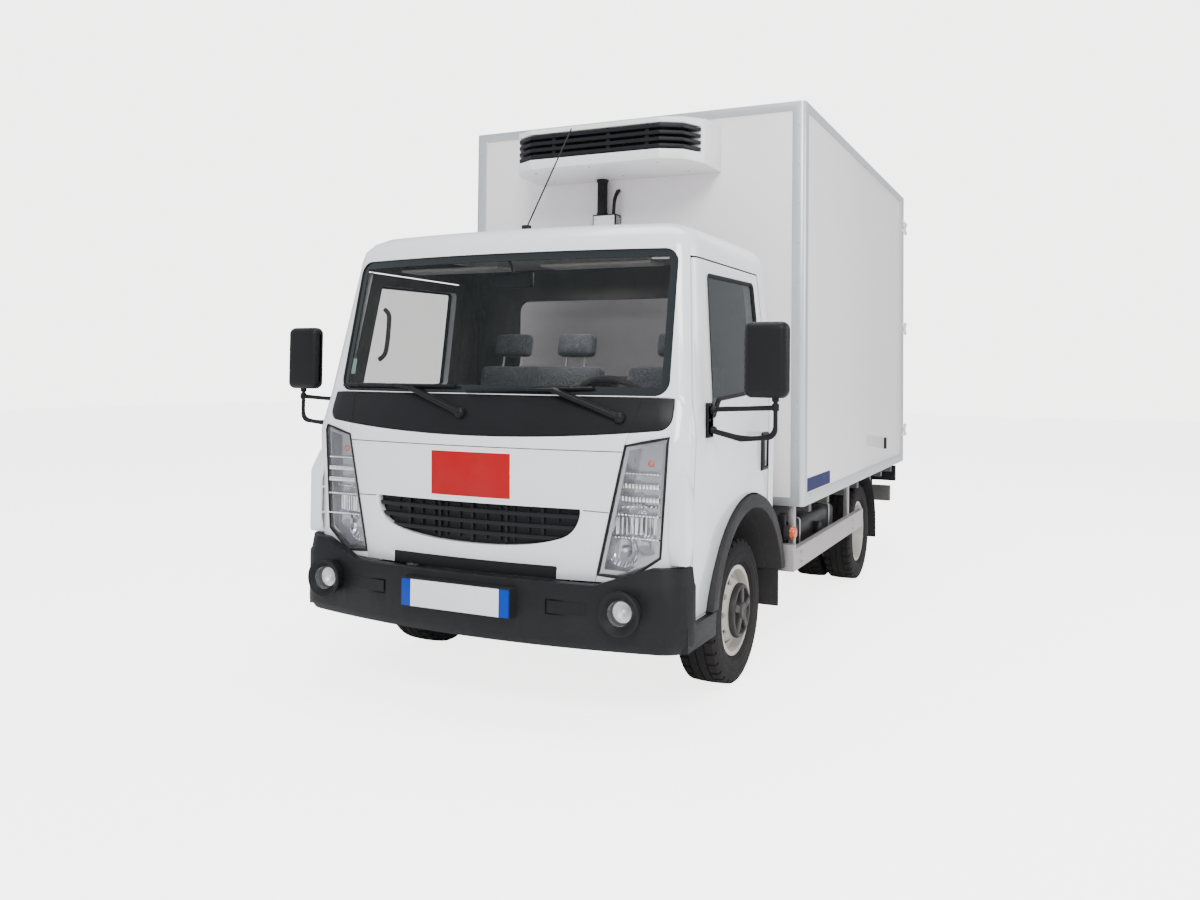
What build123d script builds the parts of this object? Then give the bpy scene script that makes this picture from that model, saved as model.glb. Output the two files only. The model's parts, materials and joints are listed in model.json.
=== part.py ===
from build123d import *
import math
import os
from functools import lru_cache

# A light cab-over refrigerated truck. Millimetres, X to the truck's left, Z up.
# Lengths are laid out rearward from the face of the front plate and moved at the
# end, so that the origin lies on the ground under the middle of the truck.

# Running gear
front_overhang = 976.0
wheelbase = 2500.0
tyre_radius = 327.0
tyre_width = 195.0
bead_radius = 191.0
front_track = 1570.0
rear_track = 1400.0
twin_spacing = 220.0
rim_clearance = 0.5
rim_inset = 25.0
disc_thickness = 8.0
hub_cap_radius = 120.0
hole_circle = 145.0
hole_radius = 19.0
hole_count = 10
kingpin_offset = 125.0

# Chassis
rail_centre = 370.0
rail_width = 60.0
rail_height = 140.0
rail_wall = 8.0
rail_top = 640.0
nose_drop = 80.0
bearer_width = 60.0
bearer_count = 8
bearer_half = 920.0

gearbox_back = 1500.0
shaft_radius = 38.0
axle_pot_length = 220.0
seat_gap = 0.3

# Insulated box
box_front = 1590.0
box_length = 3077.0
box_half_width = 1014.0
box_floor_z = 730.0
box_top_z = 2831.0
wall = 60.0
floor_thickness = 90.0
roof_thickness = 80.0
profile_wall = 4.0
bottom_rail = 60.0
top_rail = 50.0
corner_rail = 70.0
corner_radius = 25.0
door_gap = 5.0
rear_overhang_buffer = 53.0

# Cab outline
cab_back = 1380.0
cab_bow = 3850.0
cab_corner = 90.0
cab_rear_corner = 60.0
cab_foot_z = 430.0
chin_z = 630.0
bonnet_z = 1135.0
screen_foot_z = 1312.0
screen_head_z = 1926.0
roof_z = 2050.0
chin_front = 110.0
bonnet_front = 98.0
screen_foot_front = 164.0
screen_head_front = 295.0
chin_half = 926.0
belt_half = 935.0
head_half = 868.0
roof_round_side = 150.0
roof_round_front = 170.0
roof_round_back = 60.0
cab_wall = 45.0
panel_gap = 4.0
screen_edge = 4.0
panel_skin = 30.0
nose_depth = 260.0
platform_z = 780.0
footwell_back = 540.0
hinge_y = 275.0
hinge_z = 500.0
arch_radius = 530.0
flare_width = 105.0
cowl_low = 1145.0
cowl_rise = 45.0
cowl_corner = 50.0
grille_half = 500.0
grille_top = 866.0
grille_low = 697.0
bar_height = 16.0
vane_low = 668.0
vane_high = 1038.0
vane_stand_out = 15.0
vane_front = 180.0
vane_wall = 9.0
vane_round = 38.0
slat_count = 3
slat_pitch = 116.0
slat_height = 8.0

# Doors
door_thickness = 50.0
door_front = 290.0
door_head_front = 410.0
door_back = 1240.0
door_head_z = 1885.0
door_foot_z = 440.0
door_waist_z = 1280.0
door_rake = 30.0
door_hinge_height = 60.0
door_gap_cab = 7.0
door_lip = 15.0
door_rebate = 7.0
glass_thickness = 5.0
glass_inset = 8.0
mirror_x = 1184.0

# Refrigeration unit
unit_half = 550.0
unit_front_half = 485.0
unit_depth = 430.0
unit_bottom = 2490.0
unit_top = 2740.0

box_back = box_front + box_length
overall_length = box_back + rear_overhang_buffer
front_axle = front_overhang
rear_axle = front_axle + wheelbase
SIDES = {"left": 1, "right": -1}


def block(x0, x1, y0, y1, z0, z1):
    """A box between two corners."""
    size = Box(abs(x1 - x0), abs(y1 - y0), abs(z1 - z0))
    return Pos((x0 + x1) / 2, (y0 + y1) / 2, (z0 + z1) / 2) * size


def both(shape):
    """The shape and its mirror image across the centre plane, as separate solids."""
    return Compound([*shape.solids(), *mirror(shape, about=Plane.YZ).solids()])


def on_side(shape, side):
    """A left-hand shape, or its mirror image for the right-hand side."""
    return shape if SIDES[side] > 0 else mirror(shape, about=Plane.YZ)


def outline(points, radius=0):
    """A closed flat face through points, its corners rounded."""
    if radius:
        return make_face(FilletPolyline(*points, radius=radius, close=True))
    return make_face(Polyline(*points, close=True))


def front_prism(points, y0, y1, radius=0):
    """Extrude an X-Z outline from y0 back to y1."""
    return extrude(Plane.XZ.offset(-y1) * outline(points, radius), amount=y1 - y0)


def side_prism(points, x0, x1, radius=0):
    """Extrude a Y-Z outline from x0 to x1."""
    return extrude(Plane.YZ.offset(x0) * outline(points, radius), amount=x1 - x0)


def plan_prism(points, z0, z1, radius=0):
    """Extrude an X-Y outline from z0 up to z1."""
    return extrude(Plane.XY.offset(z0) * outline(points, radius), amount=z1 - z0)


def rod(start, end, radius):
    """A round bar between two points."""
    start, end = Vector(*start), Vector(*end)
    along = end - start
    return extrude(Plane(start, z_dir=along) * Circle(radius), amount=along.length)


def turned(profile, x, y, z):
    """Revolve (distance along X, radius) points about the X axis at a place."""
    face = make_face(Polyline(*profile, close=True))
    return Pos(x, y, z) * revolve(face, axis=Axis.X)


def bent_tube(points, radius, bend):
    """A round tube along a path with bent corners."""
    path = FilletPolyline(*points, radius=bend)
    return sweep(Plane(path @ 0, z_dir=path % 0) * Circle(radius), path=path)


# Cab form

def plan_face(z, front, half, back, corner, rear_corner):
    """One level of a body with a bowed front, round corners and a flat back."""
    reach = (half - corner) / (1 - corner / cab_bow)
    lean = math.asin(reach / cab_bow)
    bow_end = front + cab_bow - math.sqrt(cab_bow**2 - reach**2)
    cx, cy = reach - corner * math.sin(lean), bow_end + corner * math.cos(lean)
    mid = -(math.pi / 2 - lean) / 2
    cut = rear_corner * (1 - math.sqrt(0.5))
    a = (reach, bow_end)
    b = (cx + corner * math.cos(mid), cy + corner * math.sin(mid))
    c = (half, cy)
    d = (half, back - rear_corner)
    e = (half - cut, back - cut)
    f = (half - rear_corner, back)

    def across(point):
        return (-point[0], point[1])

    edges = [ThreePointArc(across(a), (0, front), a), ThreePointArc(a, b, c), Line(c, d),
             ThreePointArc(d, e, f), Line(f, across(f)),
             ThreePointArc(across(f), across(e), across(d)), Line(across(d), across(c)),
             ThreePointArc(across(c), across(b), across(a))]
    return Pos(0, 0, z) * make_face(edges)


@lru_cache(maxsize=None)
def cab_form(inset=0.0):
    """The cab's outer form, or the same form set in by a distance."""
    corner = max(cab_corner - inset, 15)
    rear_corner = max(cab_rear_corner - inset, 15)
    levels = [(cab_foot_z, chin_front, chin_half - 10, cab_back),
              (chin_z, chin_front, chin_half, cab_back),
              (bonnet_z, bonnet_front, belt_half, cab_back),
              (screen_foot_z, screen_foot_front, belt_half - 1, cab_back),
              (screen_head_z, screen_head_front, head_half, cab_back)]
    faces = [plan_face(z, front + inset, half - inset, back - inset, corner, rear_corner)
             for z, front, half, back in levels]
    for degrees in (22.5, 45, 67.5, 90):
        turn = math.radians(degrees)
        away = 1 - math.cos(turn)
        z = screen_head_z + (roof_z - screen_head_z) * math.sin(turn)
        drawn = inset * math.cos(turn)
        faces.append(plan_face(z - inset * math.sin(turn),
                               screen_head_front + roof_round_front * away + drawn,
                               head_half - roof_round_side * away - drawn,
                               cab_back - roof_round_back * away - drawn,
                               corner, rear_corner))
    return loft(faces, ruled=True)


CAB = cab_form()
CAB_INNER = cab_form(cab_wall)

screen_low, screen_high = screen_foot_z + screen_edge, screen_head_z - screen_edge
screen_points = [(-828, screen_low), (828, screen_low), (815, screen_high), (-815, screen_high)]
rear_window_points = [(-560, 1390), (560, 1390), (560, 1800), (-560, 1800)]
door_points = [(door_front - door_rake, door_foot_z), (door_front, door_waist_z),
               (door_head_front, door_head_z), (door_back - 20, door_head_z),
               (door_back, door_waist_z), (door_back, door_foot_z)]
window_points = [(440, 1180), (460, 1280), (535, 1835 - 10), (1150, 1835),
                 (1150, 1330), (560, 1300)]


def arch_cylinder(radius, x0, x1):
    """A cylinder about the front axle on the left side."""
    return Pos(x0, front_axle, tyre_radius) * Rot(0, 90, 0) * Cylinder(
        radius, x1 - x0, align=(Align.CENTER, Align.CENTER, Align.MIN))


def grown(points, gap):
    """An outline moved outward from its middle by a gap."""
    face = outline(points)
    return offset(face, amount=gap, kind=Kind.INTERSECTION)


def door_hole():
    """The opening for the left door through the cab side."""
    face = Plane.YZ.offset(belt_half - 200) * grown(door_points, door_gap_cab)
    return extrude(face, amount=300)


def cab_shell():
    """Roof, pillars, back wall, firewall, floor and seat platform as one welded shell."""
    floor = 40
    shell = CAB - (CAB_INNER & block(-1000, 1000, nose_depth + 30, 1400, chin_z, roof_z))
    upper = CAB_INNER & block(-1000, 1000, 0, 1400, screen_foot_z + 20, roof_z)
    shell = shell - upper
    platform = CAB & block(-900, 900, footwell_back - 40, cab_back - 20, platform_z, platform_z + floor)
    riser = CAB & block(-900, 900, footwell_back - 40, footwell_back, chin_z - 30, platform_z + floor)
    sill = CAB & block(-900, 900, nose_depth, footwell_back, chin_z - 30, chin_z)
    shell = shell - block(-880, 880, footwell_back, cab_back + 20, cab_foot_z - 20, platform_z)
    shell = shell - block(-590, 590, 0, cab_back + 20, cab_foot_z - 20, chin_z - 30)
    shell = shell - block(-1000, 1000, 0, nose_depth, cab_foot_z - 20, screen_foot_z)
    for side in SIDES:
        step_well = block(620, 1000, nose_depth + 30, footwell_back - 30, 470, chin_z - 30)
        shell = shell - on_side(step_well, side)
    shell = shell + platform + riser + sill
    shell = shell - front_prism(screen_points, 0, 700, 60)
    shell = shell - front_prism(rear_window_points, cab_back - 100, cab_back + 50, 60)
    for side in SIDES:
        shell = shell - on_side(door_hole(), side)
        shell = shell - on_side(arch_cylinder(arch_radius, 600, 1100), side)
    for side in SIDES:
        lug = block(400.3, 430, hinge_y - 30, hinge_y + 45, hinge_z - 40, chin_z - 52)
        lug = lug + block(400.3, 430, nose_depth + 5, hinge_y + 45, chin_z - 52, chin_z - 30)
        lug = lug - rod((390, hinge_y, hinge_z), (440, hinge_y, hinge_z), 12.5)
        shell = shell + on_side(lug, side)
    return shell


def skin(region, outer, inner):
    """The part of a region that lies between two insets of the cab form."""
    return (region & cab_form(outer)) - cab_form(inner)


def glazing(region):
    """A pane that follows the cab form inside a region."""
    return skin(region, glass_inset, glass_inset + glass_thickness)


def cab_glass():
    """Windscreen and rear window, bonded into their openings."""
    front = glazing(front_prism(screen_points, 0, 600, 60))
    rear = glazing(front_prism(rear_window_points, cab_back - 60, cab_back, 60))
    return Compound([*front.solids(), *rear.solids()])


lamp_foot, lamp_top = (572, 613), (684, 1122)
lamp_outer_foot, lamp_outer_top = (822, 690), (852, 1157)
lamp_points = [lamp_foot, (700, 606), lamp_outer_foot, lamp_outer_top, lamp_top]
slot_points = [(-418, 634), (418, 634), (380, 600), (-380, 600)]
NOSE = CAB & block(-1000, 1000, 0, nose_depth, chin_z - 50, screen_foot_z - 2)


def lamp_edge(z):
    """Half width of the bonnet panel at a height, where the lamp's inner edge runs."""
    slope = (lamp_top[0] - lamp_foot[0]) / (lamp_top[1] - lamp_foot[1])
    return lamp_foot[0] + (z - lamp_foot[1]) * slope


def facing(face, y0, y1):
    """A flat X-Z face extruded from y0 back to y1."""
    return extrude(Plane.XZ.offset(-y1) * face, amount=y1 - y0)


def cowl_face(grow=0.0):
    """Outline of the cowl: a bowed lower edge with round corners."""
    half, high = lamp_outer_top[0] + grow, screen_foot_z - panel_gap + grow
    low = cowl_low - grow
    face = make_face([ThreePointArc((-half, low + cowl_rise), (0, low), (half, low + cowl_rise)),
                      Line((half, low + cowl_rise), (half, high)), Line((half, high), (-half, high)),
                      Line((-half, high), (-half, low + cowl_rise))])
    corners = face.vertices().sort_by(Axis.Y)[:2]
    return fillet(corners, cowl_corner + grow)


def grille_face(inset=0.0):
    """Outline of the grille: a straight top and a foot curved like a shallow bowl."""
    half, top, low = grille_half - inset, grille_top - inset, grille_low + inset
    side = [(half - step, top - share * (top - low))
            for step, share in ((0, 0), (10, 0.33), (45, 0.60), (105, 0.76))]
    curve = [*side, (half / 2, low + 12), (0, low)]
    curve += [(-x, z) for x, z in reversed(curve[:-1])]
    return make_face([Spline(*curve), Line(curve[-1], curve[0])])


def corner_vane():
    """Left air vane: a shell round the cab's corner, open to the front, with three slats in its gap."""
    reach = belt_half + vane_stand_out
    back = nose_depth - 2
    corner_x = lamp_outer_top[0] + 14

    def plan(inset, start):
        face = outline([(start, vane_front - 2 + inset), (reach - inset, vane_front + 4 + inset),
                        (reach - inset, back - 35), (belt_half - inset, back), (start, back)])
        corner = face.vertices().sort_by(lambda vertex: vertex.Y - vertex.X)[0]
        return fillet(corner, vane_round - inset)

    inside = corner_x - 10
    profile = [(inside, vane_low), (reach - 16, vane_low), (reach, vane_low + 72),
               (reach, vane_high - 130), (reach - 40, vane_high), (inside, vane_high)]
    side_profile = [(300, vane_low), (vane_front + 14, vane_low), (vane_front, vane_low + 72),
                    (vane_front, vane_high - 130), (vane_front + 36, vane_high), (300, vane_high)]
    form = extrude(Pos(0, 0, vane_low) * plan(0, corner_x), amount=vane_high - vane_low)
    form = form & front_prism(profile, 0, 400) & side_prism(side_profile, 700, 1000)
    hollow = extrude(Pos(0, 0, vane_low + vane_wall) * plan(vane_wall, inside),
                     amount=vane_high - vane_low - 2 * vane_wall)
    inner = [(x - vane_wall if x > inside else x, z) for x, z in profile]
    inner_side = [(y + vane_wall if y < 290 else y, z) for y, z in side_profile]
    hollow = hollow & front_prism(inner, 0, 400) & side_prism(inner_side, 700, 1000)
    shell = form - hollow
    for index in range(slat_count):
        z = vane_low + 84 + index * slat_pitch
        shell = shell + (form & block(corner_x, 1000, 0, 400, z, z + slat_height))
    return shell - cab_form()


def front_panel():
    """Painted bonnet panel with its grille and slot openings, and the two corner panels with vanes."""
    gap = panel_gap
    low, high = chin_z - 45, cowl_low + cowl_rise
    half_low, half_high = lamp_edge(low) - gap, lamp_edge(high) - gap
    middle = [(-half_low, low), (half_low, low), (half_high, high), (-half_high, high)]
    hole = facing(cowl_face(gap), 0, 400)
    centre = (NOSE & front_prism(middle, 0, 400)) - hole
    centre = centre - (cab_form(panel_skin) & front_prism([(-480, 620), (480, 620), (600, 1090), (-600, 1090)], 0, 400))
    centre = centre - facing(grille_face(), 0, 200) - front_prism(slot_points, 0, 200, 10)
    edge_high = screen_foot_z - gap
    corner = NOSE & front_prism([(lamp_edge(low), low), (1000, low), (1000, edge_high),
                                 (lamp_edge(edge_high), edge_high)], 0, 400)
    corner = corner - facing(offset(outline(lamp_points), amount=gap, kind=Kind.INTERSECTION), 0, 400)
    corner = corner - hole - (cab_form(panel_skin) & block(880, 1000, 0, 400, 670, 1280))
    corner = corner + corner_vane()
    return Compound([*centre.solids(), *corner.solids(), *mirror(corner, about=Plane.YZ).solids()])


def cowl():
    """Black panel under the windscreen."""
    body = NOSE & facing(cowl_face(), 0, 400)
    return body - (cab_form(panel_skin) & block(-800, 800, 0, 300, bonnet_z + 40, screen_foot_z - 30))


def grille():
    """Black mesh backing with three curved bars and their uprights."""
    zone = facing(grille_face(7), 0, 200)
    behind = front_prism([(-525, 885), (525, 885), (465, 690), (-465, 690)], 0, 240)
    body = skin(behind, panel_skin + seat_gap, panel_skin + 8)
    for z in (735, 780, 825):
        body = body + skin(zone & block(-600, 600, 0, 300, z, z + bar_height), 6, panel_skin + 2)
    for x in (-330, -165, 0, 165, 330):
        body = body + skin(zone & block(x - 6, x + 6, 0, 300, 690, 870), 16, panel_skin + 2)
    return body


def headlamp():
    """Left lamp housing with two bowls, behind its clear lens."""
    body = NOSE & front_prism(lamp_points, 0, 400) & cab_form(glass_thickness + 1)
    hollow = front_prism([(596, 635), (690, 630), (800, 700), (826, 1130), (700, 1105)], 0, 230)
    body = body - skin(hollow, 0, 70)
    for x, z in ((660, 700), (745, 730)):
        body = body - Pos(x, 190, z) * Sphere(48)
    return body


def headlamp_lens():
    """Left clear lens."""
    return skin(front_prism(lamp_points, 0, nose_depth), 0, glass_thickness)


def bumper_form(inset=0.0):
    """Solid plan form of the bumper."""
    half, front = 952 - inset, 40 + inset
    corner = 130 - inset
    return loft([plan_face(330, front + 22, half - 18, 320, corner, 10)]
                + [plan_face(z, front, half, 320, corner, 10) for z in (365, 588)]
                + [plan_face(600, front + 7, half - 5, 320, corner, 10),
                   plan_face(665, front + 16, half - 12, 320, corner, 10)], ruled=True)


def bumper():
    """Black bumper with lamp holes, side recesses and a lower slot."""
    body = bumper_form() - (bumper_form(45) & block(-1000, 1000, 0, 400, 320, 700))
    body = body & block(-1000, 1000, 0, door_front - 40, 300, 700)
    top = [(-1000, 300), (1000, 300), (1000, 662), (800, 655), (590, 584), (-590, 584),
           (-800, 655), (-1000, 662)]
    body = body & front_prism(top, 0, 400)
    body = body - CAB
    for x in (-718, 718):
        body = body - Pos(x, 100, 498) * Rot(90, 0, 0) * Cylinder(48, 300)
    for x in (-480, 480):
        body = body - block(x - 90, x + 90, 0, 70, 460, 520)
    body = body + block(-265, 265, 4, 60, 436, 554)
    step = block(830, 940, door_front - 90, front_axle, 335, cab_foot_z - seat_gap)
    step = step - arch_cylinder(arch_radius - 60, 600, 1100)
    body = body + both(step)
    brace = block(436, 520, 90, nose_depth + 30, 520, 570)
    lug = block(436, 470, nose_depth + 5, nose_depth + 30, 560, chin_z - 30.3)
    return body + both(brace) + both(lug)


def fog_lamp():
    """Left fog lamp in the bumper."""
    return Pos(718, 75, 498) * Rot(90, 0, 0) * Cylinder(47.5, 60)


def front_plates():
    """Blank number plate and blank sign panel."""
    plate = block(-260, 260, 1, 4, 440, 550)
    sign = skin(front_prism([(-200, 885), (200, 885), (200, 1080), (-200, 1080)], 0, 300, 4), -4, 0)
    return Compound([*plate.solids(), *sign.solids()])


def door_hinge_leaf(low):
    """Hinge leaf on the door's front edge, up against the pillar."""
    high = low + door_hinge_height
    reach = door_gap_cab - seat_gap
    edge = [door_front - door_rake * (door_waist_z - z) / (door_waist_z - door_foot_z)
            for z in (low, high)]
    return side_prism([(edge[0] - reach, low), (edge[1] - reach, high),
                       (edge[1] + 2 * door_rebate, high), (edge[0] + 2 * door_rebate, low)],
                      belt_half - 40, belt_half - door_lip)


def door(side):
    """Door whose outer skin laps a set-in inner frame, with its window cut."""
    frame = extrude(Plane.YZ.offset(700) * grown(door_points, -door_rebate), amount=300)
    frame = skin(frame, door_lip, door_thickness)
    frame = frame - arch_cylinder(arch_radius + door_gap_cab + door_rebate, 600, 1100)
    body = skin(side_prism(door_points, 700, 1000, 12), 0, door_lip)
    body = body - arch_cylinder(arch_radius + door_gap_cab, 600, 1100) + frame
    body = body - side_prism(window_points, 700, 1000, 25)
    for low in (660, 1100):
        body = body + door_hinge_leaf(low)
    handle = block(belt_half - 22, 1000, 1140, 1205, 963, 1123)
    return on_side(body - handle, side)


def door_glass(side):
    """Side window glass."""
    return on_side(glazing(side_prism(window_points, 700, 1000, 25)), side)


def mirror_assembly(side):
    """Door mirror with its two tube arms and bracket plate."""
    plate = block(belt_half + 0.5, belt_half + 12, 380, 440, 1150, 1290)
    head = Pos(mirror_x, 401, 1465) * Box(180, 70, 300)
    head = fillet(head.edges(), 30)
    post_x = mirror_x + 30
    upper = bent_tube([(belt_half + 6, 420, 1262), (1060, 420, 1268), (post_x, 420, 1275)], 9, 60)
    lower = bent_tube([(belt_half + 6, 420, 1178), (1070, 420, 1146), (post_x, 420, 1160),
                       (post_x, 420, 1330)], 9, 35)
    return on_side(plate + head + upper + lower, side)


def arch_flare():
    """Left dark wheel-arch flare with the flap behind the wheel."""
    ring = arch_cylinder(arch_radius - seat_gap, belt_half - flare_width, belt_half + 12)
    ring = ring - arch_cylinder(arch_radius - 60, belt_half - flare_width, belt_half + 20)
    ring = ring & block(0, 1100, 0, 1600, tyre_radius + 110, 1000)
    liner = arch_cylinder(arch_radius - 60, 690, belt_half - flare_width + 30)
    liner = liner - arch_cylinder(arch_radius - 72, 600, 1000)
    liner = liner & block(0, 1100, 0, 1600, tyre_radius + 110, 1000)
    flap = block(700, 925, 1440, 1452, 250, 470)
    return ring + liner + flap


def seats():
    """Driver's seat and passenger bench on the platform, as plain cushions."""
    top = platform_z + 40.3
    solids = []
    for x0, x1 in ((170, 720), (-720, 60)):
        cushion = block(x0, x1, 620, 1055 - seat_gap, top, top + 150)
        back = block(x0, x1, 0, 120, 0, 640)
        for middle in ((x0 + x1) / 2,) if x0 > 0 else (x0 + 195, x1 - 195):
            back = back + block(middle - 120, middle + 120, 15, 105, 600, 800)
        back = Pos(0, 1055, top + 30) * Rot(-12, 0, 0) * back
        solids += [*cushion.solids(), *back.solids()]
    return Compound(solids)


def dashboard():
    """Dash carried on the firewall."""
    points = [(nose_depth + 30.3, 1000), (480, 1000), (560, 1120), (480, 1230),
              (nose_depth + 30.3, 1290)]
    column = rod((445, 480, 1142), (445, 565.6, 1213.7), 22)
    return (cab_form(door_thickness + 5) & side_prism(points, -820, 820)) + column


def steering_wheel():
    """Rim, spokes and boss on the column."""
    rim = Torus(200, 14)
    boss = Cylinder(45, 50)
    spokes = Box(370, 40, 10) + Pos(0, -95, 0) * Box(40, 190, 10)
    return Pos(445, 585, 1230) * Rot(-50, 0, 0) * (rim + boss + spokes)


def wipers():
    """Two wiper arms with blades on the windscreen."""
    solids = []
    for pivot, knee, near, far in (((-70, 1233), (-357, 1333), (-122, 1345), (-798, 1339)),
                                   ((648, 1230), (354, 1336), (521, 1346), (-61, 1324))):
        arm = front_prism([(pivot[0] + 16, pivot[1] - 16), (pivot[0] + 20, pivot[1] + 12),
                           (knee[0] + 4, knee[1] + 10), (knee[0] - 6, knee[1] - 6)], 0, 400)
        blade = front_prism([(near[0], near[1] - 6), (near[0], near[1] + 6), (far[0], far[1] + 6),
                             (far[0], far[1] - 6)], 0, 400)
        solids += (skin(arm, -24, -8) + skin(arm & block(pivot[0] - 22, 1000, 0, 400, 1200, 1260), -20,
                   -seat_gap) + skin(blade, -14, seat_gap - glass_inset)).solids()
    return Compound(solids)


def antenna():
    """Roof aerial: a base and a rod that leans back."""
    base = Pos(0, 520, roof_z) * Cylinder(22, 26, align=(Align.CENTER, Align.CENTER, Align.MIN))
    return base + rod((0, 520, roof_z + 15), (0, 930, roof_z + 570), 3.5)


# Wheels

def tyre(x, y):
    """One tyre about the X axis."""
    half = tyre_width / 2
    tread = tyre_radius
    bead = half - rim_inset - 0.3
    profile = [(-bead, bead_radius), (-bead, bead_radius + 16), (-half, bead_radius + 55), (-half + 4, tread - 35),
               (-half + 22, tread - 8), (-half + 45, tread), (half - 45, tread),
               (half - 22, tread - 8), (half - 4, tread - 35), (half, bead_radius + 55),
               (bead, bead_radius + 16), (bead, bead_radius)]
    return turned(profile, x, y, tyre_radius)


def rim(x, y, out):
    """A steel rim whose disc stands out by a distance from the middle."""
    seat = bead_radius - rim_clearance
    half = tyre_width / 2 - rim_inset
    thick = 6
    barrel = [(-half - 6, seat + 12), (-half, seat + 12), (-half, seat), (half, seat),
              (half, seat + 12), (half + 6, seat + 12), (half + 6, seat - thick),
              (-half - 6, seat - thick)]
    bulge = math.copysign(1, out)
    edge = min(abs(out), half)
    disc = [(bulge * (edge - 40), seat - thick + 2), (bulge * (edge - 40), seat - 30),
            (bulge * abs(out), 115), (bulge * abs(out), 0),
            (bulge * (abs(out) - disc_thickness), 0), (bulge * (abs(out) - disc_thickness), 110),
            (bulge * (edge - 40 - disc_thickness), seat - 36),
            (bulge * (edge - 40 - disc_thickness), seat - thick + 2)]
    holes = [rod((x - 160, y + hole_circle * math.cos(turn), tyre_radius + hole_circle * math.sin(turn)),
                 (x + 160, y + hole_circle * math.cos(turn), tyre_radius + hole_circle * math.sin(turn)),
                 hole_radius)
             for turn in (2 * math.pi * index / hole_count for index in range(hole_count))]
    return turned(barrel, x, y, tyre_radius) + (turned(disc, x, y, tyre_radius) - holes)


def front_wheel_rim():
    """Left front rim with its hub cap."""
    x = front_track / 2
    body = rim(x, front_axle, 88)
    cap = turned([(87, 0), (87, hub_cap_radius), (104, hub_cap_radius - 12), (120, 60), (120, 0)],
                 x, front_axle, tyre_radius)
    return body + cap


def rear_rims():
    """Left twin rims bolted disc to disc."""
    outer = rear_track / 2 + twin_spacing / 2
    inner = rear_track / 2 - twin_spacing / 2
    body = rim(outer, rear_axle, -twin_spacing / 2) + rim(inner, rear_axle, twin_spacing / 2)
    hub = turned([(-twin_spacing / 2, 0), (-twin_spacing / 2, 85), (-twin_spacing / 2 + 90, 70),
                  (-twin_spacing / 2 + 90, 0)], outer, rear_axle, tyre_radius)
    return body + hub


def rear_tyres():
    """Left twin tyres."""
    outer = tyre(rear_track / 2 + twin_spacing / 2, rear_axle)
    inner = tyre(rear_track / 2 - twin_spacing / 2, rear_axle)
    return Compound([*outer.solids(), *inner.solids()])


def knuckle():
    """Left steering knuckle: upright on the kingpin with its stub axle."""
    x = front_track / 2 - kingpin_offset
    upright = rod((x, front_axle, 250), (x, front_axle, 410), 32)
    stub = rod((x, front_axle, tyre_radius), (front_track / 2 + 79.7, front_axle, tyre_radius), 30)
    return upright + stub


def front_suspension():
    """Front cross member with upper and lower arms out to the kingpins."""
    x = front_track / 2 - kingpin_offset
    beam = block(-400, 400, front_axle - 60, front_axle + 60, 250, 330)
    towers = block(330, 400, front_axle - 60, front_axle + 60, 330, rail_top - rail_height - 0.3)
    lower = block(395, x + 20, front_axle - 25, front_axle + 25, 215, 249.7)
    lower = lower + block(380, 420, front_axle - 60, front_axle + 60, 215, 260)
    upper = block(395, x + 20, front_axle - 25, front_axle + 25, 410.3, 440)
    return beam + both(towers) + both(lower) + both(upper)


def rear_axle_beam():
    """Axle tube with its differential, and the leaf springs up to the rails."""
    tube = rod((-rear_track / 2 + 8.3, rear_axle, tyre_radius),
               (rear_track / 2 - 8.3, rear_axle, tyre_radius), 42)
    pot = fillet((Pos(0, rear_axle, tyre_radius) * Rot(90, 0, 0) * Cylinder(130, axle_pot_length)).edges(), 60)
    springs = block(405, 455, rear_axle - 560, rear_axle + 560, 372, 400)
    springs = springs + block(405, 455, rear_axle - 400, rear_axle + 400, 352, 372)
    springs = springs + block(405, 455, rear_axle - 60, rear_axle + 60, tyre_radius, 352)
    eyes = block(405, 455, rear_axle - 560, rear_axle - 530, 372, rail_top - 60)
    eyes = eyes + block(405, 455, rear_axle + 530, rear_axle + 560, 372, rail_top - 60)
    arms = block(400.3, 456, rear_axle - 565, rear_axle - 525, rail_top - 60, rail_top - 30)
    arms = arms + block(400.3, 456, rear_axle + 525, rear_axle + 565, rail_top - 60, rail_top - 30)
    return tube + pot + both(springs) + both(eyes) + both(arms)


def bearer_y(index):
    """Front face of a box bearer."""
    pitch = (box_length - bearer_width - 80) / (bearer_count - 1)
    return box_front + 40 + index * pitch


def chassis_frame():
    """Two channel rails with cross members and the cab's hinge pins."""
    x0, x1 = rail_centre - rail_width / 2, rail_centre + rail_width / 2
    lower = rail_top - rail_height
    drop_end = front_axle + 380
    rail = block(x0, x1, 300, box_back - 60, lower, rail_top)
    rail = rail - block(x0, x1, 200, drop_end, rail_top - nose_drop, rail_top + 10)
    rail = rail - block(x0 - 1, x1 - rail_wall, 320, drop_end, lower + rail_wall,
                        rail_top - nose_drop - rail_wall)
    rail = rail - block(x0 - 1, x1 - rail_wall, drop_end + rail_wall, box_back, lower + rail_wall,
                        rail_top - rail_wall)
    nose = block(x0, x1, hinge_y - 30, 330, hinge_z - 40, hinge_z + 40)
    pin = rod((x0, hinge_y, hinge_z), (440, hinge_y, hinge_z), 12)
    frame = both(rail + nose + pin)
    reach = x1 - rail_wall
    for y in (330, 560, 1400, 2200, 2900, rear_axle + 600, box_back - 130):
        top = rail_top - nose_drop if y < drop_end else rail_top
        frame = frame + block(-reach, reach, y, y + 60, lower + rail_wall, top - rail_wall)
    return frame


def box_bearers():
    """Cross bars on the rails, under the box."""
    bars = [block(-bearer_half, bearer_half, bearer_y(index), bearer_y(index) + bearer_width,
                  rail_top, box_floor_z - seat_gap) for index in range(bearer_count)]
    return Compound([bar.solid() for bar in bars])


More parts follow.
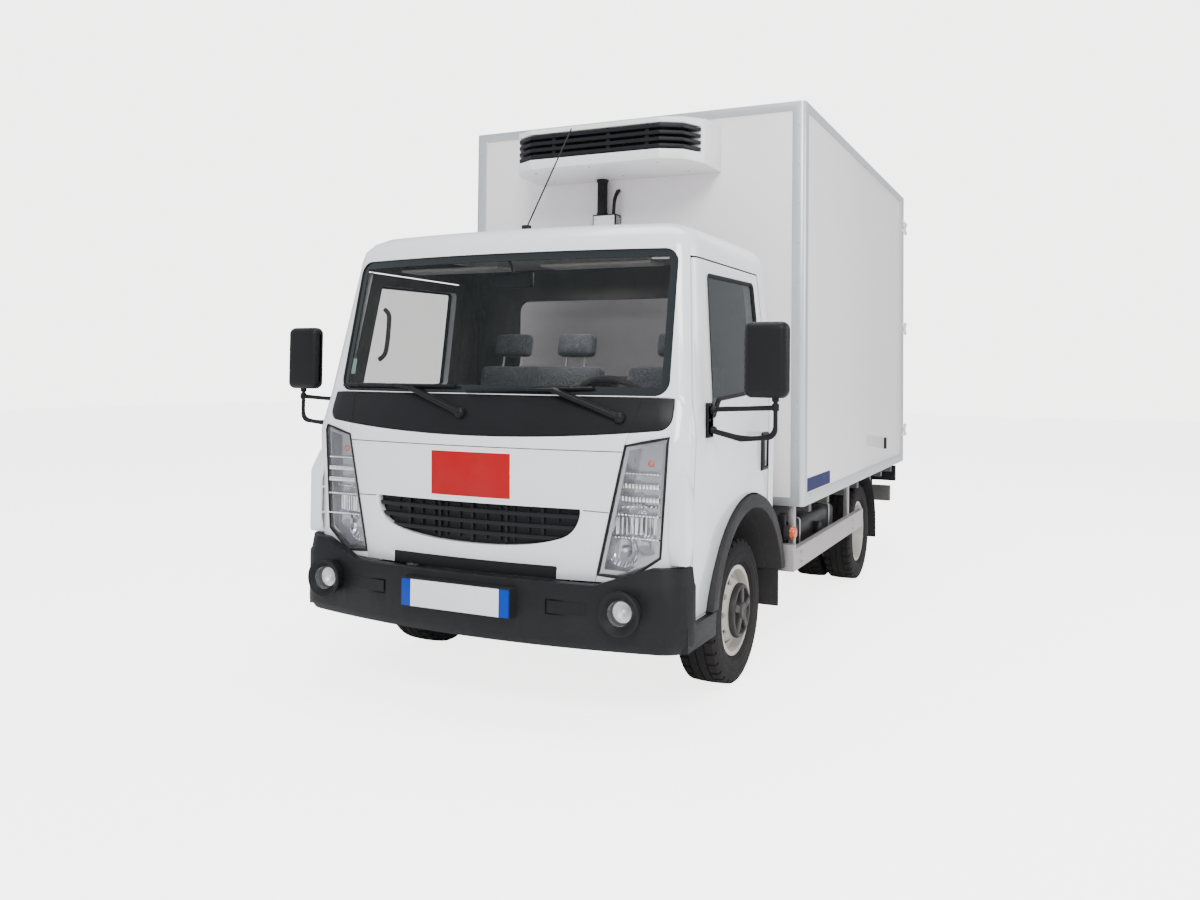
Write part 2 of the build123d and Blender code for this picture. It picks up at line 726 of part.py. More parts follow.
def driveline():
    """Engine and gearbox as one plain block, and the shaft back to the axle."""
    mass = block(-250, 250, 640, 1240, 345, 700) + block(-130, 130, 1240, gearbox_back, 370, 500)
    reach = rail_centre + rail_width / 2 - rail_wall - seat_gap
    mass = mass + block(-reach, reach, 860, 920, 512, 548)
    slope = math.atan2(90, rear_axle - gearbox_back)
    ease = seat_gap + shaft_radius * math.sin(slope)
    shaft = rod((0, gearbox_back + ease, 440), (0, rear_axle - axle_pot_length / 2 - ease, 350),
                shaft_radius)
    return Compound([mass.solid(), shaft.solid()])


def exhaust():
    """Silencer and pipes along the right side."""
    can = rod((-560, 1900, 470), (-560, 2450, 470), 90)
    pipe = rod((-560, 1560, 470), (-560, 1910, 470), 28)
    tail = rod((-560, 2440, 470), (-560, 2700, 470), 28)
    hanger = block(-575, -545, 2000, 2040, 540, rail_top - 0.3)
    hanger = hanger + block(-575, -400.3, 2000, 2040, rail_top - 40, rail_top - 0.3)
    return can + pipe + tail + hanger


def tanks():
    """Fuel tank on the left and battery box on the right, on brackets from the rails."""
    tank = fillet(block(430, 900, 1800, 2700, 370, 620).edges().filter_by(Axis.Y), 40)
    tank = tank + block(400.3, 440, 1900, 1940, 520, 600) + block(400.3, 440, 2560, 2600, 520, 600)
    battery = block(-900, -670, 1800, 2300, 400, 620)
    battery = battery + block(-800, -740, bearer_y(1), bearer_y(1) + bearer_width, 600, rail_top - 0.3)
    return Compound([*tank.solids(), *battery.solids()])


def side_guard(side):
    """Aluminium side guard with two posts up to the box."""
    rail = block(950, 985, box_front - 40, 3200, 410, 520)
    front = block(870, 985, box_front - 75, box_front - 40, 410, 520)
    front = front + block(870, 985, box_front - 75, box_front - 30, 520, 545)
    posts = None
    for index in (0, 3):
        post = block(bearer_half + 0.3, 950, bearer_y(index) + 10, bearer_y(index) + 50, 430,
                     box_floor_z - 0.3)
        posts = post if posts is None else posts + post
    return on_side(rail + front + posts, side)


def mudguard():
    """Left rear mudguard with its flap."""
    outer = Pos(480, rear_axle, tyre_radius) * Rot(0, 90, 0) * Cylinder(
        390, 460, align=(Align.CENTER, Align.CENTER, Align.MIN))
    inner = Pos(470, rear_axle, tyre_radius) * Rot(0, 90, 0) * Cylinder(
        384, 500, align=(Align.CENTER, Align.CENTER, Align.MIN))
    guard = (outer - inner) & block(480, 940, rear_axle, rear_axle + 500, tyre_radius, 800)
    guard = guard + block(480, 940, rear_axle + 384, rear_axle + 390, 230, tyre_radius + 1)
    y = bearer_y(5)
    return guard + block(600, 640, y + 5, y + 45, 585, rail_top - seat_gap)


def rear_underrun():
    """Underrun bar under the tail with its posts, and the blank rear plate."""
    bar = block(-900, 900, box_back - 40, box_back + 20, 400, 520)
    posts = block(rail_centre - 30, rail_centre + 30, box_back - 55, box_back - 25, 450, rail_top)
    buffers = block(560, 700, box_back + 20, overall_length, 415, 505)
    return bar + both(posts) + both(buffers)


def lamps():
    """Left tail lamp, side indicator and side marker."""
    tail = block(700, 940, box_back - 10, box_back + 30, 560, 680)
    stay = block(720, 760, box_back - 40, box_back - 10, 520, 660)
    indicator = Pos(955, 1565, 600) * Rot(0, 90, 0) * Cylinder(32, 60)
    indicator = indicator + block(890, 926, 1550, 1580, 560, 690)
    indicator = indicator + block(890, bearer_half, 1550, bearer_y(0) - seat_gap, 650, 690)
    panel_x = box_half_width - profile_wall + seat_gap
    marker = block(panel_x, panel_x + 12, 3802, 3846, 878, 958)
    return Compound([*tail.solids(), *stay.solids(), *indicator.solids(), *marker.solids()])


# Box

def box_envelope(inset=0.0):
    """The box outside, its front upright edges rounded."""
    body = block(-box_half_width + inset, box_half_width - inset, box_front + inset,
                 box_back - wall - door_gap, box_floor_z + inset, box_top_z - inset)
    front = body.edges().filter_by(Axis.Z).group_by(Axis.Y)[0]
    return fillet(front, corner_radius - inset)


BOX = box_envelope()
BOX_PANELS = box_envelope(profile_wall)
box_frame_back = box_back - wall - door_gap
cavity_half = box_half_width - profile_wall - wall
cavity_floor = box_floor_z + profile_wall + floor_thickness
cavity_top = box_top_z - profile_wall - roof_thickness
cavity_front = box_front + profile_wall + wall


def box_rails():
    """Aluminium edge profiles and the rear portal."""
    skin = BOX - BOX_PANELS
    b, t, c = bottom_rail, top_rail, corner_rail
    w, y0, y1 = box_half_width, box_front, box_frame_back
    keep_out = block(-w - 1, w + 1, y0 + c, y1 - c, box_floor_z + b, box_top_z - t)
    keep_out = keep_out + block(-w + c, w - c, y0 - 1, y0 + 10, box_floor_z + 44, box_top_z - t)
    keep_out = keep_out + block(-w + c, w - c, y0 + c, y1 - c, box_floor_z - 1, box_top_z + 1)
    keep_out = keep_out + block(-w + c, w - c, y0 + 10, y1 + 1, box_floor_z + b, box_top_z - t)
    return skin - keep_out


def hinge_bracket_z():
    """Heights of the three rear door hinges."""
    low, high = cavity_floor + 150, cavity_top - 150
    return [low, (low + high) / 2, high]


def box_side(side):
    """Insulated side wall, from the bottom rail to the top rail."""
    return on_side(BOX_PANELS & block(cavity_half, box_half_width, box_front, box_back,
                                      box_floor_z, box_top_z), side)


def box_front_wall():
    """Insulated front wall between the sides."""
    return BOX_PANELS & block(-cavity_half, cavity_half, box_front, cavity_front,
                              box_floor_z, box_top_z)


def box_floor():
    """Insulated floor between the walls."""
    return BOX_PANELS & block(-cavity_half, cavity_half, cavity_front, box_back,
                              box_floor_z, cavity_floor)


def box_roof():
    """Insulated roof between the walls."""
    return BOX_PANELS & block(-cavity_half, cavity_half, cavity_front, box_back,
                              cavity_top, box_top_z)


pin_x = box_half_width - 6
pin_y = box_back + 45
pin_radius = 8.0
hinge_leaf = 6.0
lock_bar_offset = 17.0
hinge_barrel = 4.0


def rear_hinges():
    """Fixed halves of the rear door hinges, on the box sides."""
    body = None
    for z in hinge_bracket_z():
        for low in (z - 46, z + 22):
            piece = block(box_half_width + seat_gap, box_half_width + hinge_leaf, box_back - 130, pin_y,
                          low, low + 24)
            piece = piece + rod((pin_x, pin_y, low), (pin_x, pin_y, low + 24), pin_radius)
            piece = piece + block(pin_x, box_half_width + hinge_leaf, pin_y - 8, pin_y + 4, low, low + 24)
            body = piece if body is None else body + piece
        body = body + rod((pin_x, pin_y, z - 46), (pin_x, pin_y, z + 46), hinge_barrel)
    return both(body)


def rear_door(side):
    """Insulated rear door leaf with its hinge straps."""
    leaf = block(2.5, box_half_width - 14, box_back - wall, box_back, box_floor_z + 50, box_top_z - 45)
    for z in hinge_bracket_z():
        strap = side_prism([(box_back - 1, z - 20), (pin_y + 2, z - 20), (pin_y + 2, z + 20),
                            (box_back - 1, z + 20)], box_half_width - 50, pin_x)
        strap = strap + block(box_half_width - 160, pin_x - 40, box_back - 1, box_back + 8, z - 20, z + 20)
        barrel = rod((pin_x, pin_y, z - 20), (pin_x, pin_y, z + 20), pin_radius)
        leaf = leaf + strap + barrel
        leaf = leaf - rod((pin_x, pin_y, z - 60), (pin_x, pin_y, z + 60), hinge_barrel + seat_gap)
    return on_side(leaf, side)


def rear_door_bars(side):
    """Lock bars, keepers and handle on a rear door."""
    body = None
    for x in (250, 640):
        y = box_back + lock_bar_offset
        bar = rod((x, y, box_floor_z + 70), (x, y, box_top_z - 65), 10)
        for z in (box_floor_z + 90, 1500, 2100, box_top_z - 90):
            bar = bar + block(x - 25, x + 25, box_back + seat_gap, y + 11, z - 20, z + 20)
        bar = bar + block(x - 12, x + 130, y - 4, y + 10, 1180, 1210)
        body = bar if body is None else body + bar
    return on_side(body, side)


# Refrigeration unit

def unit_points(inset=0.0):
    """Plan outline of the unit on the box front."""
    wall_y = box_front + profile_wall - seat_gap
    front = box_front - unit_depth + inset
    return [(-unit_half + inset, wall_y), (-unit_half + inset, front + 190),
            (-unit_front_half + inset, front + 60), (-unit_front_half + 110, front),
            (unit_front_half - 110, front), (unit_front_half - inset, front + 60),
            (unit_half - inset, front + 190), (unit_half - inset, wall_y)]


def unit_case():
    """White case of the unit with the band where the grille sits."""
    body = plan_prism(unit_points(), unit_bottom, unit_top, 8)
    slope = side_prism([(box_front - unit_depth - 50, 2695), (box_front + 1, unit_top),
                        (box_front + 1, unit_top + 60), (box_front - unit_depth - 50, unit_top + 60)],
                       -700, 700)
    body = body - slope
    band = plan_prism(unit_points(), 2540, 2676, 8) - plan_prism(unit_points(60), 2540, 2676, 8)
    band = band & block(-700, 700, 0, box_front - unit_depth + 170, 2500, 2700)
    return body - band


def unit_grille():
    """Black louvres round the front of the unit."""
    zone = block(-700, 700, 0, box_front - unit_depth + 169.7, 2500, 2700)
    body = (plan_prism(unit_points(45), 2540.3, 2675.7, 8)
            - plan_prism(unit_points(59.7), 2540.3, 2675.7, 8)) & zone
    for index in range(4):
        z = 2548 + index * 34
        bar = (plan_prism(unit_points(2), z, z + 18, 8) - plan_prism(unit_points(50), z, z + 18, 8)) & zone
        body = body + bar
    return body


def unit_pipes():
    """Corrugated hose and thin hose from the unit down to the junction box."""
    box = block(-184, -42, box_front - 70, box_front + profile_wall - seat_gap, 1900, 2290)
    hose = rod((-140, box_front - 40, 2290), (-140, box_front - 40, unit_bottom - 0.3), 28)
    thin = bent_tube([(-70, box_front - 40, 2290), (-64, box_front - 40, 2380),
                      (-60, box_front - 10, 2430)], 9, 25)
    return box + hose + thin


def evaporator():
    """Cooler inside the box under the roof, at the front wall."""
    points = [(cavity_front + 0.3, cavity_top - 0.3), (cavity_front + 560, cavity_top - 0.3),
              (cavity_front + 560, cavity_top - 60), (cavity_front + 120, cavity_top - 200),
              (cavity_front + 0.3, cavity_top - 200)]
    return side_prism(points, -500, 500)


def save(name, shape):
    """Write one piece, moved so that the origin is under the middle of the truck."""
    solids = shape.solids()
    placed = [Pos(0, -overall_length / 2, 0) * solid for solid in solids]
    result = placed[0] if len(placed) == 1 else Compound(placed)
    export_step(result, f"parts/{name}.step")


os.makedirs("parts", exist_ok=True)
front_x = front_track / 2
NODES = {
    "chassis_frame": chassis_frame, "front_suspension": front_suspension,
    "rear_axle": rear_axle_beam, "driveline": driveline, "box_bearers": box_bearers,
    "exhaust": exhaust, "tanks": tanks, "rear_underrun": rear_underrun,
    "mudguards": lambda: both(mudguard()), "lamps": lambda: both(lamps()),
    "cab_shell": cab_shell, "cab_glass": cab_glass, "front_panel": front_panel,
    "cowl": cowl, "grille": grille, "headlamps": lambda: both(headlamp()),
    "headlamp_lenses": lambda: both(headlamp_lens()), "bumper": bumper,
    "fog_lamps": lambda: both(fog_lamp()), "front_plates": front_plates,
    "arch_flares": lambda: both(arch_flare()), "seats": seats, "dashboard": dashboard,
    "steering_wheel": steering_wheel, "wipers": wipers, "antenna": antenna,
    "box_rails": box_rails, "box_floor": box_floor, "box_front_wall": box_front_wall,
    "box_roof": box_roof, "rear_hinges": rear_hinges, "unit_case": unit_case,
    "unit_grille": unit_grille, "unit_pipes": unit_pipes, "evaporator": evaporator,
}
for side in SIDES:
    NODES[f"knuckle_{side}"] = lambda side=side: on_side(knuckle(), side)
    NODES[f"tyre_front_{side}"] = lambda side=side: on_side(tyre(front_x, front_axle), side)
    NODES[f"rim_front_{side}"] = lambda side=side: on_side(front_wheel_rim(), side)
    NODES[f"tyres_rear_{side}"] = lambda side=side: on_side(rear_tyres(), side)
    NODES[f"rims_rear_{side}"] = lambda side=side: on_side(rear_rims(), side)
    NODES[f"side_guard_{side}"] = lambda side=side: side_guard(side)
    NODES[f"box_side_{side}"] = lambda side=side: box_side(side)
    NODES[f"rear_door_{side}"] = lambda side=side: rear_door(side)
    NODES[f"rear_door_bars_{side}"] = lambda side=side: rear_door_bars(side)
    NODES[f"door_{side}"] = lambda side=side: door(side)
    NODES[f"door_glass_{side}"] = lambda side=side: door_glass(side)
    NODES[f"mirror_{side}"] = lambda side=side: mirror_assembly(side)

for name, make in NODES.items():
    save(name, make())
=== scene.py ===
# %% [markdown]
# # A small refrigerated truck
# The CAD model brings every piece at its real size. This lesson gives it its looks: painted sheet metal,
# glass, moulded plastic, rubber and cloth, and the small things that a person sees from a step away.
# Everything is in metres, with the truck facing -Y and standing on the floor at z = 0.

# %% Load the frame
import json
import math
import bmesh
import bpy
from mathutils import Matrix, Vector
from mathutils.bvhtree import BVHTree


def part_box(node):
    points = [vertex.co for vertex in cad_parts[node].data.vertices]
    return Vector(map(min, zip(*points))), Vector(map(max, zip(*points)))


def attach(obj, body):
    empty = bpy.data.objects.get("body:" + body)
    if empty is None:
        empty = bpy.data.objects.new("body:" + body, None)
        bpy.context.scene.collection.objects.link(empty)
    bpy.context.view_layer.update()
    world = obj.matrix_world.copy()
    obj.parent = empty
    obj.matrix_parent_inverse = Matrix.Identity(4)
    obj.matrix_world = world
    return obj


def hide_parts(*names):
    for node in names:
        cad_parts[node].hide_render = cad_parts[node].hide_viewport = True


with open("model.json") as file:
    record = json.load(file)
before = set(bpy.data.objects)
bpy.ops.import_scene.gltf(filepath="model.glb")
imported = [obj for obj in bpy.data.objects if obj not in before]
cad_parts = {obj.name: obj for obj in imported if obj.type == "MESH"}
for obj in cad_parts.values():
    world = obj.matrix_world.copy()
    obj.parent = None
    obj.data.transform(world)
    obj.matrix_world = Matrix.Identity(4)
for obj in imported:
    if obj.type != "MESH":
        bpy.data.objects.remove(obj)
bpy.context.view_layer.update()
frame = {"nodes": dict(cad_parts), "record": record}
nodes = frame["nodes"]
body_of = {node: body for body, members in frame["record"]["behaviour"]["bodies"].items() for node in members}

# %% [markdown]
# ## The camera
# It stands ahead of the truck's left front corner, at eye height of a short person, and looks a little to
# the right of the cab's middle. Its place and turn come from the plate, the wheels and the box edges.

# %% Camera
CAMERA_PLACE = Vector((2.3148, -5.6017, 1.4088))
CAMERA_YAW, CAMERA_PITCH, CAMERA_ROLL = 0.4197, 0.0278, 0.0099
LENS_MM, SHIFT = 28.854, (-0.04375, -0.0865)

ahead = Vector((-math.sin(CAMERA_YAW) * math.cos(CAMERA_PITCH),
                math.cos(CAMERA_YAW) * math.cos(CAMERA_PITCH), math.sin(CAMERA_PITCH)))
right = ahead.cross(Vector((0, 0, 1))).normalized()
up = right.cross(ahead)
rolled_right = right * math.cos(CAMERA_ROLL) + up * math.sin(CAMERA_ROLL)
rolled_up = up * math.cos(CAMERA_ROLL) - right * math.sin(CAMERA_ROLL)
turn = Matrix((rolled_right, rolled_up, -ahead)).transposed().to_4x4()

camera = bpy.data.objects.new("camera", bpy.data.cameras.new("camera"))
bpy.context.scene.collection.objects.link(camera)
camera.matrix_world = Matrix.Translation(CAMERA_PLACE) @ turn
camera.data.lens = LENS_MM
camera.data.shift_x, camera.data.shift_y = SHIFT
bpy.context.scene.camera = camera

# %% [markdown]
# ## Modelling helpers
# Most pieces start from a primitive of their own size, are shaped in edit mode and get their place applied,
# so that each finished object sits at the origin. These helpers keep that short.

# %% Selecting and finishing
def only(obj):
    """Leave edit mode and make one object the selected and active one."""
    if bpy.context.object and bpy.context.object.mode != "OBJECT":
        bpy.ops.object.mode_set(mode="OBJECT")
    bpy.ops.object.select_all(action="DESELECT")
    obj.select_set(True)
    bpy.context.view_layer.objects.active = obj
    return obj


def clear():
    """Leave nothing selected, so that an operator acts on the new piece alone."""
    if bpy.context.object and bpy.context.object.mode != "OBJECT":
        bpy.ops.object.mode_set(mode="OBJECT")
    bpy.ops.object.select_all(action="DESELECT")


def edit(obj):
    """Open an object in edit mode with nothing selected."""
    only(obj)
    bpy.ops.object.mode_set(mode="EDIT")
    bpy.ops.mesh.select_all(action="DESELECT")


def pick_faces(test):
    """In edit mode, select the faces whose middle and normal pass a test."""
    bpy.ops.mesh.select_mode(type="FACE")
    mesh = bmesh.from_edit_mesh(bpy.context.object.data)
    for face in mesh.faces:
        face.select_set(test(face.calc_center_median(), face.normal))
    bmesh.update_edit_mesh(bpy.context.object.data)


def modify(obj, kind, **settings):
    """Add a modifier with its settings and apply it."""
    only(obj)
    modifier = obj.modifiers.new(kind.lower(), kind)
    for key, value in settings.items():
        setattr(modifier, key, value)
    bpy.ops.object.modifier_apply(modifier=modifier.name)


def ease(obj, width, segments=2, angle=35):
    """Round the edges that are sharper than an angle."""
    modify(obj, "BEVEL", width=width, segments=segments, limit_method="ANGLE",
           angle_limit=math.radians(angle), harden_normals=False)


def settle(obj):
    """Apply the place, turn and scale, so that the object sits at the origin."""
    only(obj)
    bpy.ops.object.transform_apply(location=True, rotation=True, scale=True)


def outward(obj):
    """Merge doubles and turn all faces outward."""
    edit(obj)
    bpy.ops.mesh.select_all(action="SELECT")
    bpy.ops.mesh.remove_doubles(threshold=0.00002)
    bpy.ops.mesh.normals_make_consistent(inside=False)
    bpy.ops.object.mode_set(mode="OBJECT")


def hand_over(obj, name, finish, body, smooth=35):
    """Name a finished piece, shade it, give it a material and a body to ride."""
    settle(obj)
    obj.name = name
    obj.data.name = name
    bpy.ops.object.shade_smooth_by_angle(angle=math.radians(smooth))
    obj.data.materials.clear()
    obj.data.materials.append(finish)
    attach(obj, body)
    return obj


def join(pieces):
    """Several objects as one."""
    clear()
    for piece in pieces:
        piece.select_set(True)
    bpy.context.view_layer.objects.active = pieces[0]
    bpy.ops.object.join()
    return bpy.context.object


def twin(obj, name):
    """The mirror image of a finished piece on the truck's other side, with its own mesh."""
    only(obj)
    bpy.ops.object.duplicate()
    copy = bpy.context.object
    copy.name = name
    edit(copy)
    bpy.ops.mesh.select_all(action="SELECT")
    bpy.ops.transform.resize(value=(-1, 1, 1), center_override=(0, 0, 0))
    bpy.ops.mesh.flip_normals()
    bpy.ops.object.mode_set(mode="OBJECT")
    return copy


def other_side(piece, body):
    """The right-hand twin of a finished left-hand piece, on its own body."""
    other = twin(piece, piece.name.replace("left", "right"))
    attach(other, body)
    return other


# %% [markdown]
# ## Shapes that come back
# A slab is a cube with eased edges, a turned piece is a circle extruded ring by ring along its axis, and a
# pipe is a curve with a round section, made a mesh. Each is only the start of the piece that it becomes.

# %% Slab, turned piece and pipe
def slab(low, high, round_off=0.003, segments=2):
    """A block between two corners with rounded edges."""
    clear()
    middle = [(a + b) / 2 for a, b in zip(low, high)]
    size = [abs(b - a) for a, b in zip(low, high)]
    bpy.ops.mesh.primitive_cube_add(size=1, location=middle, scale=size)
    obj = bpy.context.object
    settle(obj)
    if round_off:
        modify(obj, "BEVEL", width=min(round_off, 0.45 * min(size)), segments=segments, limit_method="NONE")
    return obj


def turned(steps, place, axis="X", sides=48, close=True):
    """Rings of (distance along the axis, radius) joined by extrusion, about an axis through a place."""
    clear()
    turns = {"X": (0, math.pi / 2, 0), "Y": (-math.pi / 2, 0, 0), "Z": (0, 0, 0)}
    distance, radius = steps[0]
    bpy.ops.mesh.primitive_circle_add(vertices=sides, radius=radius, location=(0, 0, distance),
                                      fill_type="NGON" if close else "NOTHING")
    obj = bpy.context.object
    settle(obj)
    bpy.ops.object.mode_set(mode="EDIT")
    bpy.ops.mesh.select_all(action="SELECT")
    if close:
        bpy.ops.mesh.select_mode(type="FACE")
    for step in steps[1:]:
        new_distance, new_radius = step
        if close:
            bpy.ops.mesh.extrude_region_move()
        else:
            bpy.ops.mesh.extrude_edges_move()
        bpy.ops.transform.translate(value=(0, 0, new_distance - distance))
        factor = new_radius / radius
        bpy.ops.transform.resize(value=(factor, factor, 1), center_override=(0, 0, new_distance))
        distance, radius = new_distance, new_radius
    bpy.ops.object.mode_set(mode="OBJECT")
    outward(obj)
    only(obj)
    obj.rotation_euler = turns[axis]
    obj.location = place
    settle(obj)
    return obj


def pipe(points, radius, sides=10, smooth=True, closed=False):
    """A round tube along points."""
    clear()
    bpy.ops.curve.primitive_nurbs_path_add(location=(0, 0, 0))
    obj = bpy.context.object
    curve = obj.data
    curve.splines.clear()
    spline = curve.splines.new("NURBS" if smooth else "POLY")
    spline.points.add(len(points) - 1)
    for point, place in zip(spline.points, points):
        point.co = (*place, 1)
    spline.use_cyclic_u = closed
    if smooth:
        spline.order_u = 3
        spline.use_endpoint_u = not closed
        spline.resolution_u = 8
    curve.bevel_depth = radius
    curve.bevel_resolution = max(1, sides // 4)
    curve.use_fill_caps = True
    only(obj)
    bpy.ops.object.convert(target="MESH")
    obj = bpy.context.object
    outward(obj)
    return obj


def copy_node(name):
    """A copy of a CAD node's mesh with its loose triangles merged and its flat faces joined."""
    clear()
    node = nodes[name]
    obj = bpy.data.objects.new(f"{name}_copy", node.data.copy())
    bpy.context.scene.collection.objects.link(obj)
    only(obj)
    if obj.data.has_custom_normals:
        bpy.ops.mesh.customdata_custom_splitnormals_clear()
    edit(obj)
    bpy.ops.mesh.select_all(action="SELECT")
    bpy.ops.mesh.remove_doubles(threshold=0.00002)
    bpy.ops.mesh.dissolve_limited(angle_limit=math.radians(0.5))
    bpy.ops.object.mode_set(mode="OBJECT")
    return obj


def dress(name, finish, width=0.002, segments=2, angle=35):
    """A CAD node with eased edges and smooth shading, which stands for the node."""
    obj = copy_node(name)
    if width:
        ease(obj, width, segments, angle)
    hand_over(obj, f"{name}_dressed", finish, body_of[name])
    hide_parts(name)
    return obj


# %% [markdown]
# ## Shader sums
# A finish is written as arithmetic: a wire stands for a socket, and adding or multiplying wires adds Math
# nodes. All patterns read Object coordinates in metres, so a grain has its real size on every piece.

# %% Wires and finishes
class Wire:
    """A shader socket that can be used in sums like a number."""

    def __init__(self, finish, socket):
        self.finish = finish
        self.socket = socket

    def math(self, operation, first, second=None):
        sockets = {0: first} if second is None else {0: first, 1: second}
        return self.finish.node("ShaderNodeMath", {"operation": operation}, sockets)

    def __add__(self, other):
        return self.math("ADD", self, other)

    __radd__ = __add__

    def __sub__(self, other):
        return self.math("SUBTRACT", self, other)

    def __rsub__(self, other):
        return self.math("SUBTRACT", other, self)

    def __mul__(self, other):
        return self.math("MULTIPLY", self, other)

    __rmul__ = __mul__

    def __abs__(self):
        return self.math("ABSOLUTE", self)

    def least(self, other):
        return self.math("MINIMUM", self, other)

    def most(self, other):
        return self.math("MAXIMUM", self, other)

    def step(self, low, high):
        """0 below low, 1 above high, smooth between; high may be the smaller."""
        return self.finish.node("ShaderNodeMapRange", {"interpolation_type": "SMOOTHSTEP"},
                                {0: self, 1: low, 2: high})


class Finish:
    """A material whose nodes are added by type, settings and sockets."""

    def __init__(self, name, **constants):
        self.material = bpy.data.materials.new(name)
        self.material.use_nodes = True
        self.tree = self.material.node_tree
        self.shader = self.tree.nodes["Principled BSDF"]
        self.set(**constants)

    def feed(self, socket, value):
        if isinstance(value, Wire):
            self.tree.links.new(value.socket, socket)
        elif socket.type == "RGBA" and len(value) == 3:
            socket.default_value = (*value, 1)
        else:
            socket.default_value = value

    def node(self, kind, settings, sockets, out=0):
        item = self.tree.nodes.new(kind)
        for key, value in settings.items():
            setattr(item, key, value)
        for key, value in sockets.items():
            self.feed(item.inputs[key], value)
        return Wire(self, item.outputs[out])

    def set(self, **values):
        """Set the shader's sockets, named with underscores for spaces."""
        for key, value in values.items():
            self.feed(self.shader.inputs[key.replace("_", " ")], value)
        return self

    def place(self):
        return self.node("ShaderNodeTexCoord", {}, {}, out="Object")

    def axis(self, index):
        return self.node("ShaderNodeSeparateXYZ", {}, {0: self.place()}, out=index)

    def noise(self, scale, detail=2.0, rough=0.5, stretch=(1, 1, 1)):
        place = self.node("ShaderNodeMapping", {}, {"Vector": self.place(), "Scale": stretch})
        return self.node("ShaderNodeTexNoise", {}, {"Vector": place, "Scale": scale, "Detail": detail,
                                                    "Roughness": rough})

    def cells(self, scale, stretch=(1, 1, 1)):
        place = self.node("ShaderNodeMapping", {}, {"Vector": self.place(), "Scale": stretch})
        return self.node("ShaderNodeTexVoronoi", {}, {"Vector": place, "Scale": scale})

    def mix(self, factor, first, second):
        return self.node("ShaderNodeMix", {"data_type": "RGBA"}, {0: factor, 6: first, 7: second}, out=2)

    def bump(self, height, distance, strength=1.0):
        sockets = {"Height": height, "Distance": distance, "Strength": strength}
        return self.set(Normal=self.node("ShaderNodeBump", {}, sockets))

    def edge_glow(self, base):
        """Share of reflection from both sides of a sheet: small straight on, near one at a slant."""
        facing = self.node("ShaderNodeLayerWeight", {}, {"Blend": 0.5}, out="Facing")
        return self.node("ShaderNodeMath", {"operation": "POWER"}, {0: facing, 1: 5.0}) * 0.9 + base


# %% [markdown]
# ## Finishes
# Road film gathers low on the body and in streaks, plastics carry a fine moulded grain, and aluminium
# profiles show their drawing lines. Each finish below is named for what it is on the truck.

# %% Painted and coated metal
ROAD_DUST = (0.30, 0.27, 0.24)


def road_film(finish, top, amount):
    """Dirt that thickens downward from a height, broken up by noise."""
    low = finish.axis(2).step(top, 0.25)
    patches = finish.noise(2.2, 6, 0.62, (1, 1, 0.45)).step(0.35, 0.75)
    specks = finish.noise(60, 2, 0.6).step(0.55, 0.75)
    return (low * (0.35 + 0.65 * patches) + specks * low * 0.4) * amount


def painted(name, color, rough, top, amount, coat=0.7, ripple=0.00004):
    finish = Finish(name, Coat_Roughness=0.04, Coat_Weight=coat, Specular_IOR_Level=0.5)
    film = road_film(finish, top, amount)
    shade = finish.noise(1.1, 3, 0.5) * 0.05
    finish.set(Base_Color=finish.mix(film + shade, color, ROAD_DUST),
               Roughness=rough + film * 0.5 + finish.noise(14, 3) * 0.05)
    return finish.bump(finish.noise(260, 1) + finish.noise(7, 2) * 3, ripple).material


cab_white = painted("cab_white", (0.80, 0.82, 0.84), 0.26, 0.95, 0.28)
box_white = painted("box_white", (0.83, 0.785, 0.79), 0.30, 1.15, 0.16, coat=0.35, ripple=0.00010)
unit_white = painted("unit_white", (0.80, 0.80, 0.80), 0.38, 0.6, 0.1, coat=0.1, ripple=0.00006)
chassis_black = painted("chassis_black", (0.012, 0.012, 0.013), 0.5, 1.1, 0.30, coat=0.15, ripple=0.00015)
wheel_silver = painted("wheel_silver", (0.50, 0.47, 0.42), 0.36, 0.75, 0.45, coat=0.2, ripple=0.00008)


# %% Plastics and rubber
def moulded(name, color, rough, grain, depth, top=0.9, dust=0.35):
    finish = Finish(name, Specular_IOR_Level=0.15)
    film = road_film(finish, top, dust)
    pale = finish.noise(5, 4, 0.6) * 0.4
    worn = [min(1, c * 1.5 + 0.004) for c in color]
    base = finish.mix(pale, color, worn)
    finish.set(Base_Color=finish.mix(film, base, ROAD_DUST), Roughness=rough + film * 0.35)
    return finish.bump(finish.cells(grain) + finish.noise(grain * 0.5, 2), depth).material


bumper_black = moulded("bumper_black", (0.007, 0.0075, 0.009), 0.50, 700, 0.00020, dust=0.03)
cowl_black = moulded("cowl_black", (0.008, 0.008, 0.009), 0.38, 900, 0.00008, top=0.6, dust=0.1)
flare_grey = moulded("flare_grey", (0.020, 0.0195, 0.020), 0.58, 700, 0.00022, dust=0.04)
mirror_black = moulded("mirror_black", (0.008, 0.008, 0.009), 0.40, 800, 0.00016, top=0.3)
dash_black = moulded("dash_black", (0.020, 0.020, 0.022), 0.62, 500, 0.00035, top=0.2)
louvre_black = moulded("louvre_black", (0.010, 0.010, 0.012), 0.38, 900, 0.00010, top=0.3)
seal_rubber = moulded("seal_rubber", (0.012, 0.012, 0.013), 0.68, 300, 0.00010, top=0.8, dust=0.25)
hub_black = moulded("hub_black", (0.012, 0.012, 0.013), 0.40, 600, 0.00015, top=0.7, dust=0.15)
tyre_black = moulded("tyre_black", (0.006, 0.006, 0.0065), 0.80, 220, 0.00025, top=0.75, dust=0.07)


